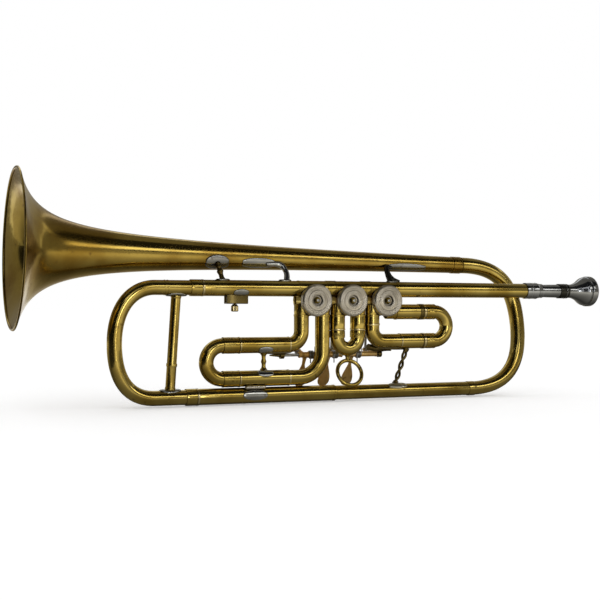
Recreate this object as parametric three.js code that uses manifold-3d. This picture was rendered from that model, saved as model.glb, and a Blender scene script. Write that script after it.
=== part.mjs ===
// A rotary valve trumpet. X runs from the bell to the mouthpiece, Z from the lower tube to the bell tail,
// and Y points away from the screw caps, to the side of the finger levers. All lengths are in millimetres.
// While the pieces are placed, X is zero at valve 2, and Y and Z are zero on the axis of the leadpipe.
import * as THREE from "three";
import { mergeVertices } from "three/addons/utils/BufferGeometryUtils.js";
import Module from "manifold-3d";

const wasm = await Module();
wasm.setup();

// Tubing
const bore = 11.2;
const tubeWall = 0.4;
const slidingGap = 0.2; // between an inner leg and its sleeve
const sleeveWall = 0.4;
const seam = 0.3; // between pieces that meet
const ferruleStep = 0.2; // how far a ferrule stands out over a sleeve
const boreRadius = bore / 2;
const legRadius = boreRadius + tubeWall;
const sleeveBore = legRadius + slidingGap;
const sleeveRadius = sleeveBore + sleeveWall;
const ferruleRadius = sleeveRadius + ferruleStep;
const stubWall = 0.7;
const fixedRadius = boreRadius + stubWall; // the fixed legs below the valves
const roundShare = 0.5523; // handle of a quarter turn that is a true quarter circle

// Valves
const valvePitch = 33;
const portOffset = 9.6; // from a valve's axis to the axes of its ports
const casingWall = 1.7;
const casingRimStep = 1.2;
const casingRimLength = 2.6;
const rotorRadius = 10.2;
const runningGap = 0.3; // between turning pieces and what they turn in
const casingFront = 9.4; // from the tube plane to the open end of the casing
const casingInside = 7.4; // from the tube plane to the inside of the rear wall
const rearWall = 2.2;
const noseRadius = 5.5;
const noseLength = 2.8;
const stubReach = 12.6;
const stubStart = 3.5; // of the lower stubs
const stemRadius = 2;
const plateThickness = 2.1;
const plateInset = 0.1;
const spindleRadius = 2.4;
const pinRadius = 1.8;
const pinProud = 0.6; // how far the spindle's pin stands out of the cap
const passageRadius = 3.9;
const passageWidth = 5.4;
const passageDepth = 1.6; // from the rotor's axis to the control point of a passage
const casingRear = casingInside + rearWall;
const casingBore = rotorRadius + runningGap;
const casingRadius = casingBore + casingWall;

// Screw caps
const capSkirtWall = 0.9;
const capFace = 12.8; // from the tube plane to the cap's face
const capSkirtEnd = 7.2;
const capTop = 2.5;
const capBevel = 0.6;
const capHole = 4.2;
const capRecess = 1.2;
const capPinGap = 1.1; // between the spindle's pin and the hole in the cap
const capInnerHole = pinRadius + capPinGap;
const grooveRadius = 8.2;
const grooveWidth = 0.8;
const grooveDepth = 0.3;

// Stop arms, bumpers and links
const bumperInner = noseRadius + seam;
const bumperOuter = 9;
const bumperDepth = 3;
const bumperOpenShare = 150 / 360;
const armThickness = 2.3;
const armHubRadius = 3.4;
const armLobeRadius = 2.3;
const crank = 4.5; // from the rotor's axis to the link pin
const lugGap = 0.8; // between the lug and the nose of the casing
const lugInner = noseRadius + lugGap;
const lugOuter = 8.7;
const lugShare = 54 / 360;
const linkPinRadius = 1.2;
const linkPinLength = 3.2;
const stemProud = 0.6; // how far the rotor's stem stands out of the arm
const eyeStandOff = 1.2; // from the back of the arm to the link's eye
const eyeGap = 0.4;
const eyeWall = 1.1;
const eyeWidth = 2.2;
const linkRadius = 1.1;

// Main tuning slide
const mainDrop = 87.7; // from the leadpipe's axis down to the lower tube's axis
const upperSleeveEnd = -130.3;
const sleeveEndStep = 3.8; // the lower sleeve ends nearer to the bow
const upperFerruleLength = 9.2;
const lowerFerruleLength = 8.7;
const lowerSleeveEnd = upperSleeveEnd - sleeveEndStep;
const upperFerruleEnd = upperSleeveEnd - upperFerruleLength;
const lowerFerruleEnd = lowerSleeveEnd - lowerFerruleLength;
const upperLegInside = 26; // how far each inner leg reaches into its sleeve
const mainBowRun = 37.7; // from the end of the upper sleeve to where the bow starts to bend
const mainBowStart = upperSleeveEnd - mainBowRun;
const mainBowReach = 32.4;
const mainBowHighShare = 0.61; // handles of its upper and lower quarter turn
const mainBowLowShare = 0.65;
const braceTopRun = 20.7; // from the end of the upper sleeve to the two ends of the brace
const braceFootRun = 25.2;
const braceTop = upperSleeveEnd - braceTopRun;
const braceFoot = upperSleeveEnd - braceFootRun;
const braceRadius = 3.95;
const braceRingRadius = 4.4;
const braceRingWidth = 2.4;
const braceRingShare = 0.72;
const flangeLength = 17;
const flangeAngleShare = 96 / 360;

// Lower tube, rear bow and bell
const lowerSleeveStart = -12.5;
const lowerTubeInside = 8;
const rearBowStart = 121.7;
const rearBowReach = 56;
const rearBowLowShare = 0.675; // handles of its lower and upper quarter turn
const rearBowHighShare = 0.715;
const rearBowEndRadius = 7.2;
const rearBowWall = 0.5;
const bellTailHeight = 22.9;
const bellMouthHeight = 29;
const bellMouthX = -274;
const bellMouthRadius = 63.5;
const bellThroatRadius = 7.08;
const bellFlareLength = 16.84;
const bellTaperShare = 0.0056;
const bellWall = 0.6;
const rimWireRadius = 1.2;
const rimBulgeShare = 0.8; // of the wire's radius, along the bell
const bellCrowdingShare = 2.2; // power that crowds the rings towards the mouth

// Leadpipe, receiver and mouthpiece
const leadpipeRadius = 6.75;
const leadpipeEndRadius = 6.5;
const receiverEnd = 197.4;
const receiverLength = 13.8;
const receiverTaper = 5.8; // length of its tapering end
const receiverRadius = 7.3;
const receiverTipRadius = 6.4;
const receiverMouthRadius = 6;
const leadpipeEnd = receiverEnd - receiverLength - seam;
const shankInside = 30.4; // how far the mouthpiece reaches in from the receiver's end
const shankTipRadius = 4.85;
const shankRadius = boreRadius - runningGap;
const stemStart = 4.6; // this and the places that follow are measured from the receiver's end
const stemOuter = 5.9;
const collarStart = 21.6;
const collarEnd = 30.6;
const collarRadius = 6.65;
const neckPlace = 33.1;
const neckRadius = 6.4;
const cupWaistPlace = 40.6;
const cupWaistRadius = 9.2;
const cupEdgePlace = 48.1;
const cupRadius = 14.1;
const rimEnd = 54.6;
const rimRound = 1.5;
const cupBiteRadius = 8.6;
const cupDepth = 11;
const cupBowlShare = 0.8; // width of the cup halfway down
const throatRadius = 1.9;
const throatLength = 8;
const backboreRadius = 4.2;

// Slide of valve 1
const slide1Drop = 25.4; // between its two legs
const slide1SleeveEnd = 73.9;
const slide1BowStart = 84;
const slide1LegInside = 21;
const slide1LowerSleeve = 49.5;
const slide1Turn = 10.5;

// Slide of valve 2
const slide2SleeveEnd = -34.8;
const slide2FerruleLength = 6;
const slide2LegInside = 9.6;
const ringRadius = 11.1;
const ringWire = 1.65;
const ringDrop = 20.1; // from the bow's lowest axis point to the ring's centre
const ringForward = 4.6;
const ringTiltShare = 24 / 360;
const lugRadius = 1.7;

// Slide of valve 3
const slide3UpperShare = 0.472; // height of its upper leg, from the valves' lower ports to its lower leg
const slide3Clearance = 0.6; // between its lower leg and the lower sleeve
const slide3SleeveStart = -53.9;
const slide3SleeveEnd = -98.5;
const slide3BowStart = -112;
const slide3LegInside = 34;
const slide3UpperTurn = 11;
const slide3LowerTurn = 21;
const postX = -76.2;
const postRadius = 1.7;
const postBeadRadius = 3.1;
const postFootRadius = 4.2;
const postFootShare = 0.163; // height of a foot and of half the bead, of the post's length
const postBeadShare = 0.23;

// Posts, brackets and plates
const plateWall = 0.8;
const plateEndShare = 0.35; // width of a plate's ends
const longPlateEndShare = 0.5;
const bellPostX = -114;
const bellPostRadius = 2.1;
const bellPostBead = 2.9;
const bellPostBeadShares = [0.3, 0.45, 0.6]; // start, middle and end of its bead
const bellPlateLength = 20;
const bellPlateAngleShare = 64 / 360;
const bellPostLean = 2.5; // its foot is nearer to the valves
const bellFootLength = 12;
const braceAngleShare = 118 / 360; // direction from the bell's axis to its braces, from +Z towards -Y
const leftPlateRun = 30; // from the axis of valve 3 to the left plate
const leftPlateLength = 29;
const rightPlateRun = 10.6; // from the axis of valve 1 to the right plate
const rightPlateLength = 38.4;
const leftPlateEnd = -valvePitch - leftPlateRun;
const leftPlateStart = leftPlateEnd - leftPlateLength;
const rightPlateStart = valvePitch + rightPlateRun;
const rightPlateEnd = rightPlateStart + rightPlateLength;
const longPlateAngleShare = 50 / 360;
const strapWidth = 2.1; // half of the strap's width
const strapThickness = 1.1; // half of its thickness
const strapSeat = 2.2; // from the bell's surface to the middle of the strap
const leftStrapOut = 8;
const rightStrapOut = 5;
const strapLandingShare = 0.9;
const strapFootLength = 7;
const twistTopX = 56.8;
const twistFootX = 46;
const strandRadius = 1.2;
const ropeShare = 1.35; // mean radius of the two strands together, and how much it swings
const ropeSwingShare = 0.45;
const twistTurns = 4;
const twistFootRadius = 2.6;
const twistFootHeight = 1.6;
const valleyX = -85;
const valleyRadius = 1.6;
const valleyLength = 15;

// Lyre socket
const lyreX = -100.4;
const lyreLength = 18.2;
const lyreWidth = 8;
const lyreBottom = 12.8; // below the upper sleeve's axis
const lyreSocket = 5;
const lyreFloor = 1.4;
const lyreScrewX = -101.6;
const lyreScrewRadius = 1.1;
const lyreHeadRadius = 3;
const lyreHeadLength = 6;

// Finger levers
const axleDepth = 14; // behind the tube plane
const axleHeight = -56;
const axleRadius = 1.3;
const axleLeftRun = 25; // how far the axle runs past the axes of valves 3 and 1
const axleRightRun = 6;
const axleStart = -valvePitch - axleLeftRun;
const axleEnd = valvePitch + axleRightRun;
const hubWall = 0.8;
const hubRadius = axleRadius + runningGap + hubWall;
const leverPitchShare = 2 / 3; // distance between the paddles, of the distance between the valves
const leverPitch = valvePitch * leverPitchShare;
const lastPaddleX = -valvePitch;
const leverReach = 12; // from the axle to the link's lower eye
const leverRise = 3.18; // of the lower eye above the axle while the lever rests
const paddleLean = 26.6 / 360;
const paddleStart = 9.5;
const paddleTip = 31.3;
const paddleHalfWidth = 5.4;
const paddleThickness = 1.2;
const paddleBulgeShare = 1.2;
const armRadius = 1.8;
const armTaperShare = 0.7;
const crossPinRadius = 1.1;
const hubMargin = 3;
const hubEnd = 0.8;
const springWire = 0.5;
const springTurns = 3;
const springLength = 5;
const springLeg = 7;
const bracketEyeWidth = 3.4;
const bracketEyeWall = 1.5;
const bracketArmRadius = 1.5;
const bracketRootRadius = 2.3;
const leftBracketLean = 4; // how far the feet of the axle's brackets stand beyond its ends
const rightBracketLean = 6;
const leftBracketFoot = axleStart - leftBracketLean;
const rightBracketFoot = axleEnd + rightBracketLean;

// Fineness of the round shapes
const tubeSides = 12;
const valveSides = 18;
const bellSides = 26;
const smallSides = 8;
const wireSides = 5;
const bowSteps = 5;
const turnSteps = 4;
const coilSteps = 7;
const bellSteps = 12;
const weld = 0.0001;

const X = new THREE.Vector3(1, 0, 0);
const Y = new THREE.Vector3(0, 1, 0);
const Z = new THREE.Vector3(0, 0, 1);
const at = (x, y, z) => new THREE.Vector3(x, y, z);
const turnOf = (share) => share * 2 * Math.PI;

const valveHeight = -portOffset;
const valves = [
  { name: "1", x: valvePitch },
  { name: "2", x: 0 },
  { name: "3", x: -valvePitch },
];
const stubEnd = valveHeight - stubReach;

// A closed geometry as a solid that can be joined and cut.
function solid(geometry, matrix = new THREE.Matrix4()) {
  const bare = geometry.clone().applyMatrix4(matrix);
  bare.deleteAttribute("normal");
  bare.deleteAttribute("uv");
  const merged = mergeVertices(bare, weld);
  return new wasm.Manifold(
    new wasm.Mesh({
      numProp: 3,
      vertProperties: merged.attributes.position.array,
      triVerts: new Uint32Array(merged.index.array),
    }),
  );
}

// Joins the solids of one piece and cuts the others out of it.
function carve(joined, cuts = []) {
  let body = solid(joined[0]);
  for (const piece of joined.slice(1)) body = body.add(solid(piece));
  for (const cut of cuts) body = body.subtract(solid(cut));
  const mesh = body.getMesh();
  const geometry = new THREE.BufferGeometry();
  geometry.setAttribute("position", new THREE.BufferAttribute(mesh.vertProperties, 3));
  geometry.setIndex(new THREE.BufferAttribute(mesh.triVerts, 1));
  geometry.computeVertexNormals();
  return geometry;
}

// Turns the lathe's axis from +Y to the direction given, and moves its start to the place given.
function aim(geometry, place, direction) {
  const turn = new THREE.Quaternion().setFromUnitVectors(Y, direction.clone().normalize());
  return geometry.applyQuaternion(turn).translate(place.x, place.y, place.z);
}

// A turned piece from pairs of distance along its axis and radius: up its outside, and down its bore.
function turned(place, direction, profile, sides = smallSides) {
  const points = profile.map(([along, radius]) => new THREE.Vector2(radius, along));
  if (profile[0][1] > 0) points.push(points[0].clone());
  return aim(new THREE.LatheGeometry(points, sides), place, direction);
}

// A plain rod between two places.
function rod(from, to, radius, endRadius = radius, sides = smallSides) {
  const span = to.clone().sub(from);
  const length = span.length();
  return turned(from, span, [[0, 0], [0, radius], [length, endRadius], [length, 0]], sides);
}

// A straight pipe between two places, with an outer and an inner radius at each end.
function straight(from, to, outer, inner, outerEnd = outer, innerEnd = inner, sides = tubeSides) {
  const span = to.clone().sub(from);
  const length = span.length();
  return turned(from, span, [[0, outer], [length, outerEnd], [length, innerEnd], [0, inner]], sides);
}

// A pipe bent along curves. Each run has its curve, steps, outer radii and inner radii at its two ends.
function pipe(runs, { sides = tubeSides, wideShare = 1 } = {}) {
  const rings = [];
  for (const { curve, steps = 1, outer, inner = [0, 0] } of runs)
    for (let i = 0; i <= steps; i++) {
      const share = i / steps;
      rings.push({
        at: curve.getPointAt(share),
        along: curve.getTangentAt(share),
        outer: THREE.MathUtils.lerp(outer[0], outer[1], share),
        inner: THREE.MathUtils.lerp(inner[0], inner[1], share),
      });
    }
  const sameAs = (a, b, radius) => a && a.at.distanceTo(b.at) < weld && a[radius] === b[radius];
  const profile = [];
  rings.forEach((ring, i) => {
    if (!sameAs(rings[i - 1], ring, "outer")) profile.push(new THREE.Vector2(ring.outer, i));
  });
  const last = rings.length - 1;
  if (rings[0].inner === 0) {
    profile.unshift(new THREE.Vector2(0, 0));
    profile.push(new THREE.Vector2(0, last));
  } else {
    for (let i = last; i >= 0; i--)
      if (!sameAs(rings[i + 1], rings[i], "inner")) profile.push(new THREE.Vector2(rings[i].inner, i));
    profile.push(profile[0].clone());
  }
  const geometry = new THREE.LatheGeometry(profile, sides);
  const place = geometry.attributes.position;
  for (let i = 0; i < place.count; i++) {
    const ring = rings[Math.round(place.getY(i))];
    const side = Y.clone().addScaledVector(ring.along, -Y.dot(ring.along)).normalize();
    const up = ring.along.clone().cross(side);
    const moved = ring.at.clone().addScaledVector(up, place.getX(i));
    moved.addScaledVector(side, place.getZ(i) * wideShare);
    place.setXYZ(i, moved.x, moved.y, moved.z);
  }
  geometry.computeVertexNormals();
  return geometry;
}

// A quarter turn from one place to another round the corner between them.
function corner(from, middle, to, share = roundShare) {
  return new THREE.CubicBezierCurve3(
    from,
    from.clone().lerp(middle, share),
    to.clone().lerp(middle, share),
    to,
  );
}

const line = (from, to) => new THREE.LineCurve3(from, to);

// The two quarter turns of a bow that leaves both ends in one direction.
function bow(start, end, direction, reach, firstShare = roundShare, lastShare = firstShare) {
  const out = direction.clone().multiplyScalar(reach);
  const apex = start.clone().lerp(end, 0.5).add(out);
  return [
    corner(start, start.clone().add(out), apex, firstShare),
    corner(apex, end.clone().add(out), end, lastShare),
  ];
}

// A plate that hugs a round tube, with rounded ends. It is centred on the direction given.
function saddle(tube, from, to, direction, turnShare, radiusAt, endShare = plateEndShare) {
  const length = to - from;
  const plate = new THREE.BoxGeometry(1, 1, 1, turnSteps, turnSteps, 1);
  const place = plate.attributes.position;
  const across = direction.clone().cross(tube.along);
  for (let i = 0; i < place.count; i++) {
    const alongShare = place.getX(i);
    const roundedShare = Math.sqrt(1 - (1 - endShare * endShare) * 4 * alongShare * alongShare);
    const distance = from + (alongShare + 0.5) * length;
    const angle = place.getY(i) * turnOf(turnShare) * roundedShare;
    const radius = radiusAt(distance) + seam + (place.getZ(i) + 0.5) * plateWall;
    const moved = tube.at(distance);
    moved.addScaledVector(direction, radius * Math.cos(angle));
    moved.addScaledVector(across, radius * Math.sin(angle));
    place.setXYZ(i, moved.x, moved.y, moved.z);
  }
  plate.computeVertexNormals();
  return plate;
}

// A C-shaped or plain sector plate round a valve's axis, seen from the front, turning from +X to +Z.
function sector(inner, outer, fromShare, toShare, depth, steps) {
  const shape = new THREE.Shape();
  shape.absarc(0, 0, outer, turnOf(fromShare), turnOf(toShare), false);
  shape.absarc(0, 0, inner, turnOf(toShare), turnOf(fromShare), true);
  shape.closePath();
  const plate = new THREE.ExtrudeGeometry(shape, { depth, bevelEnabled: false, curveSegments: steps });
  return plate.rotateX(Math.PI / 2).translate(0, depth, 0);
}

const brass = { color: 0x8f7328, roughness: 0.3, metalness: 1 };
const bellBrass = { color: 0x7d5f28, roughness: 0.34, metalness: 1 };
const leverBrass = { color: 0x8a5f2c, roughness: 0.38, metalness: 1 };
const nickel = { color: 0x8b867c, roughness: 0.36, metalness: 1 };
const silver = { color: 0xb9bcc2, roughness: 0.16, metalness: 1 };
const steel = { color: 0x8d9094, roughness: 0.3, metalness: 1 };
const cork = { color: 0x2a2724, roughness: 0.9, metalness: 0 };

const trumpet = new THREE.Group();

function add(name, geometry, finish) {
  const mesh = new THREE.Mesh(geometry, new THREE.MeshStandardMaterial(finish));
  mesh.name = name;
  trumpet.add(mesh);
}

// A lengthwise line that plates can hug: its place at a distance along X, and its direction.
function lengthwise(height, depth, slope = 0) {
  return {
    at: (x) => at(x, depth, height + slope * x),
    along: at(1, 0, slope).normalize(),
  };
}

// The rear bow leans back just enough to pass behind the leadpipe.
const bellLean = ((leadpipeRadius + rearBowEndRadius + seam) * (mainDrop + bellTailHeight)) / mainDrop;
const bellTailX = rearBowStart - 2 * seam;
const bellSlope = (bellTailHeight - bellMouthHeight) / (bellTailX - bellMouthX);
const bellLine = lengthwise(bellTailHeight - bellSlope * bellTailX, bellLean, bellSlope);
const upperLine = lengthwise(0, 0);
const lowerLine = lengthwise(-mainDrop, 0);
const slide3Lower = -mainDrop + 2 * sleeveRadius + slide3Clearance;
const slide3Upper = THREE.MathUtils.lerp(stubEnd, slide3Lower, slide3UpperShare);
const slide1Upper = valveHeight - portOffset;
const slide1Lower = slide1Upper - slide1Drop;

function bellRadius(x) {
  const s = x - bellMouthX;
  const flare = ((bellMouthRadius - bellThroatRadius) * bellFlareLength) / (s + bellFlareLength);
  return flare + bellThroatRadius - bellTaperShare * s;
}

// Direction from the bell's axis to the pieces that are soldered to its lower front.
const bellDown = at(0, -Math.sin(turnOf(braceAngleShare)), Math.cos(turnOf(braceAngleShare)));
bellDown.addScaledVector(bellLine.along, -bellDown.dot(bellLine.along)).normalize();
const onBell = (x, standOff) => bellLine.at(x).addScaledVector(bellDown, bellRadius(x) + standOff);

function makeBell() {
  const length = bellTailX - bellMouthX;
  const outside = [];
  for (let i = 0; i <= bellSteps; i++) {
    const s = length * (i / bellSteps) ** bellCrowdingShare;
    outside.push([s, bellRadius(bellMouthX + s)]);
  }
  const inside = outside.map(([s, radius], i) => {
    const before = outside[Math.max(i - 1, 0)];
    const after = outside[Math.min(i + 1, bellSteps)];
    const span = Math.hypot(after[0] - before[0], after[1] - before[1]);
    const shift = (bellWall * (before[1] - after[1])) / span;
    return [i === bellSteps ? s : s - shift, radius - (bellWall * (after[0] - before[0])) / span];
  });
  const rim = [];
  for (let i = 1; i < turnSteps; i++) {
    const angle = Math.PI * (i / turnSteps);
    rim.push([
      inside[0][0] - rimWireRadius * rimBulgeShare * Math.sin(angle),
      bellMouthRadius - (rimWireRadius * (1 - Math.cos(angle))) / 2,
    ]);
  }
  const profile = [...outside, ...inside.slice(1).reverse(), ...rim.reverse()];
  add("bell", turned(bellLine.at(bellMouthX), bellLine.along, profile, bellSides), bellBrass);
}

function makeRearBow() {
  const start = at(rearBowStart, 0, -mainDrop);
  const end = at(rearBowStart, bellLean, bellTailHeight);
  const halfRadius = (legRadius + rearBowEndRadius) / 2;
  const [first, second] = bow(start, end, X, rearBowReach, rearBowLowShare, rearBowHighShare);
  add(
    "rear_bow",
    pipe([
      {
        curve: first,
        steps: bowSteps,
        outer: [legRadius, halfRadius],
        inner: [boreRadius, halfRadius - rearBowWall],
      },
      {
        curve: second,
        steps: bowSteps,
        outer: [halfRadius, rearBowEndRadius],
        inner: [halfRadius - rearBowWall, rearBowEndRadius - rearBowWall],
      },
    ]),
    brass,
  );
  const tubeFrom = at(lowerSleeveStart - lowerTubeInside, 0, -mainDrop);
  const tubeTo = at(rearBowStart - seam, 0, -mainDrop);
  add("lower_tube", straight(tubeFrom, tubeTo, legRadius, boreRadius), brass);
}

function makeMainSlide() {
  const upperStart = -valvePitch - stubReach - seam;
  const upperEnd = at(upperSleeveEnd, 0, 0);
  add("upper_sleeve", straight(at(upperStart, 0, 0), upperEnd, sleeveRadius, sleeveBore), brass);
  add(
    "lower_sleeve",
    straight(at(lowerSleeveStart, 0, -mainDrop), at(lowerSleeveEnd, 0, -mainDrop), sleeveRadius, sleeveBore),
    brass,
  );
  const upperTip = at(upperSleeveEnd + upperLegInside, 0, 0);
  const lowerTip = at(upperSleeveEnd + upperLegInside, 0, -mainDrop);
  const upperTurn = at(mainBowStart, 0, 0);
  const lowerTurn = at(mainBowStart, 0, -mainDrop);
  const walls = { outer: [legRadius, legRadius], inner: [boreRadius, boreRadius] };
  const left = X.clone().negate();
  const [first, second] = bow(upperTurn, lowerTurn, left, mainBowReach, mainBowHighShare, mainBowLowShare);
  const bend = pipe([
    { curve: line(upperTip, upperTurn), ...walls },
    { curve: first, steps: bowSteps, ...walls },
    { curve: second, steps: bowSteps, ...walls },
    { curve: line(lowerTurn, lowerTip), ...walls },
  ]);
  const ferrule = (from, to, height) =>
    straight(at(from - seam, 0, height), at(to, 0, height), ferruleRadius, legRadius - tubeWall / 2);
  add(
    "main_slide_bow",
    carve([
      bend,
      ferrule(upperSleeveEnd, upperFerruleEnd, 0),
      ferrule(lowerSleeveEnd, lowerFerruleEnd, -mainDrop),
    ]),
    brass,
  );
  const top = at(braceTop, 0, -legRadius - plateWall / 2 - seam);
  const foot = at(braceFoot, 0, -mainDrop + legRadius + plateWall / 2 + seam);
  const length = top.distanceTo(foot);
  const ringAt = length * braceRingShare;
  const post = turned(
    top,
    foot.clone().sub(top),
    [
      [0, 0],
      [0, braceRadius],
      [ringAt, braceRadius],
      [ringAt, braceRingRadius],
      [ringAt + braceRingWidth, braceRingRadius],
      [ringAt + braceRingWidth, braceRadius],
      [length, braceRadius],
      [length, 0],
    ],
    tubeSides,
  );
  const down = Z.clone().negate();
  const half = flangeLength / 2;
  const flange = (tube, x, direction) =>
    saddle(tube, x - half, x + half, direction, flangeAngleShare, () => legRadius);
  add(
    "main_slide_brace",
    carve([post, flange(upperLine, braceTop, down), flange(lowerLine, braceFoot, Z)]),
    nickel,
  );
}

function makeLeadpipe() {
  add(
    "leadpipe",
    straight(
      at(valvePitch + stubReach + seam, 0, 0),
      at(leadpipeEnd, 0, 0),
      leadpipeRadius,
      boreRadius,
      leadpipeEndRadius,
    ),
    brass,
  );
  add(
    "receiver",
    turned(
      at(leadpipeEnd + seam, 0, 0),
      X,
      [
        [0, receiverRadius],
        [receiverLength - receiverTaper, receiverRadius],
        [receiverLength, receiverTipRadius],
        [receiverLength, receiverMouthRadius],
        [0, boreRadius],
      ],
      tubeSides,
    ),
    brass,
  );
  const cupFloor = rimEnd - cupDepth;
  const mouthpiece = [
    [-shankInside, shankTipRadius],
    [-receiverTaper, shankRadius],
    [stemStart, stemOuter],
    [collarStart, (stemOuter + collarRadius) / 2],
    [collarStart, collarRadius],
    [collarEnd, collarRadius],
    [neckPlace, neckRadius],
    [cupWaistPlace, cupWaistRadius],
    [cupEdgePlace, cupRadius - rimRound / 2],
    [cupEdgePlace + rimRound, cupRadius],
    [rimEnd - rimRound, cupRadius],
    [rimEnd, cupRadius - rimRound],
    [rimEnd, cupBiteRadius + rimRound],
    [rimEnd - rimRound, cupBiteRadius],
    [(rimEnd + cupFloor) / 2, cupBiteRadius * cupBowlShare],
    [cupFloor, throatRadius],
    [cupFloor - throatLength, throatRadius],
    [-shankInside, backboreRadius],
  ];
  add("mouthpiece", turned(at(receiverEnd, 0, 0), X, mouthpiece, valveSides), silver);
}

// The casing of one valve with its four port stubs. The upper two meet at a wall over the valve's axis.
// Valve 1 sends its outer lower port along +X.
function makeCasing({ name, x }) {
  const axis = at(x, 0, valveHeight);
  const shell = turned(
    axis,
    Y,
    [
      [-casingFront, casingRadius],
      [casingRear - casingRimLength, casingRadius],
      [casingRear - casingRimLength, casingRadius + casingRimStep],
      [casingRear, casingRadius + casingRimStep],
      [casingRear, noseRadius],
      [casingRear + noseLength, noseRadius],
      [casingRear + noseLength, stemRadius + runningGap],
      [casingInside, stemRadius + runningGap],
      [casingInside, casingBore],
      [-casingFront, casingBore],
    ],
    valveSides,
  );
  const ports = [];
  for (const side of [-1, 1]) {
    ports.push({ side, up: 1, out: at(side, 0, 0), radius: leadpipeRadius, start: 0 });
    const level = name === "1" && side === 1;
    const out = level ? X.clone() : at(0, 0, -1);
    ports.push({ side, up: -1, out, radius: fixedRadius, start: stubStart });
  }
  const stubs = [];
  const bores = [];
  for (const { side, up, out, radius, start } of ports) {
    const centre = axis.clone().add(at(side * portOffset, 0, up * portOffset));
    const along = (distance) => centre.clone().addScaledVector(out, distance - portOffset);
    stubs.push(rod(along(start), along(stubReach), radius, radius, tubeSides));
    bores.push(rod(along(start + stubWall), along(stubReach + seam), boreRadius, boreRadius, tubeSides));
  }
  const hollow = rod(
    axis.clone().setY(-casingFront),
    axis.clone().setY(casingInside),
    casingBore,
    casingBore,
    valveSides,
  );
  add("casing_" + name, carve([shell, ...stubs], [hollow, ...bores]), brass);
}

function makeRotor({ name, x }) {
  const body = turned(
    at(x, 0, valveHeight),
    Y,
    [
      [-capFace - pinProud, 0],
      [-capFace - pinProud, pinRadius],
      [-casingFront - runningGap, pinRadius],
      [-casingFront - runningGap, spindleRadius],
      [-casingFront + plateInset + plateThickness + runningGap, spindleRadius],
      [-casingFront + plateInset + plateThickness + runningGap, rotorRadius],
      [casingInside - runningGap, rotorRadius],
      [casingInside - runningGap, stemRadius],
      [stemEnd, stemRadius],
      [stemEnd, 0],
    ],
    valveSides,
  );
  const passages = [-1, 1].map((side) => {
    const reach = rotorRadius * Math.SQRT1_2 + passageRadius / 2;
    const middle = at(x, 0, valveHeight + side * passageDepth);
    const curve = new THREE.QuadraticBezierCurve3(
      middle.clone().setX(x - reach).setZ(valveHeight + side * reach),
      middle,
      middle.clone().setX(x + reach).setZ(valveHeight + side * reach),
    );
    const wide = { sides: smallSides, wideShare: passageWidth / passageRadius };
    return pipe([{ curve, steps: turnSteps, outer: [passageRadius, passageRadius] }], wide);
  });
  add("rotor_" + name, carve([body], passages), brass);
}

const stopPlane = casingRear + noseLength + runningGap + seam; // front face of the stop arms
const stemEnd = stopPlane + armThickness + stemProud;
const crankSide = crank * Math.SQRT1_2;
const eyeFront = stopPlane + armThickness + eyeStandOff;

// The stop arm on the rotor's stem, with the pin of the link and the lug between the bumper's ends.
function makeStopArm({ name, x }) {
  const from = (dx, dz, y) => at(x + dx, y, valveHeight + dz);
  const disc = (dx, dz, radius, start, end) => rod(from(dx, dz, start), from(dx, dz, end), radius);
  const back = stopPlane + armThickness;
  const lug = sector(0, lugOuter, -lugShare / 2, lugShare / 2, back - casingRear - runningGap, turnSteps);
  lug.rotateY(Math.PI / 4).translate(x, casingRear + runningGap, valveHeight);
  const start = from(0, 0, casingRear);
  const cleared = rod(start, from(0, 0, stopPlane), lugInner, lugInner, valveSides);
  const holeRadius = stemRadius + seam;
  const hole = rod(start, from(0, 0, back + seam), holeRadius, holeRadius, tubeSides);
  add(
    "stop_arm_" + name,
    carve(
      [
        disc(0, 0, armHubRadius, stopPlane, back),
        disc(-crankSide, crankSide, armLobeRadius, stopPlane, back),
        disc(-crankSide, crankSide, linkPinRadius, stopPlane, eyeFront + linkPinLength),
        lug,
      ],
      [cleared, hole],
    ),
    steel,
  );
}

// The C-shaped bumper that stops the arm at both ends of its quarter turn.
function makeBumper({ name, x }) {
  const half = bumperOpenShare / 2;
  const pad = sector(bumperInner, bumperOuter, half, 1 - half, bumperDepth, valveSides / 2);
  add("bumper_" + name, pad.translate(x, casingRear + seam, valveHeight), cork);
}

function makeCap({ name, x }) {
  const skirt = casingRadius + seam;
  const outer = skirt + capSkirtWall;
  const profile = [
    [-capFace, capHole],
    [-capFace, grooveRadius],
    [-capFace + grooveDepth, grooveRadius + grooveWidth / 2],
    [-capFace, grooveRadius + grooveWidth],
    [-capFace, outer - capBevel],
    [-capFace + capBevel, outer],
    [-capSkirtEnd, outer],
    [-capSkirtEnd, skirt],
    [-capFace + capTop, skirt],
    [-capFace + capTop, capInnerHole],
    [-capFace + capRecess, capInnerHole],
    [-capFace + capRecess, capHole],
  ];
  add("screw_cap_" + name, turned(at(x, 0, valveHeight), Y, profile, valveSides), nickel);
}

function makeBearingPlate({ name, x }) {
  const front = -casingFront + plateInset;
  const plate = straight(
    at(x, front, valveHeight),
    at(x, front + plateThickness, valveHeight),
    casingBore - runningGap,
    spindleRadius + runningGap,
    casingBore - runningGap,
    spindleRadius + runningGap,
    valveSides,
  );
  add("bearing_plate_" + name, plate, brass);
}

function makeValves() {
  for (const valve of valves) {
    makeCasing(valve);
    makeBearingPlate(valve);
    makeCap(valve);
    makeBumper(valve);
    makeRotor(valve);
    makeStopArm(valve);
    makeLink(valve);
  }
  for (const side of [1, -1]) {
    const from = at(side * (stubReach + seam), 0, 0);
    const to = at(side * (valvePitch - stubReach - seam), 0, 0);
    add("knuckle_" + (side > 0 ? "1" : "2"), straight(from, to, leadpipeRadius, boreRadius), brass);
  }
}

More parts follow.
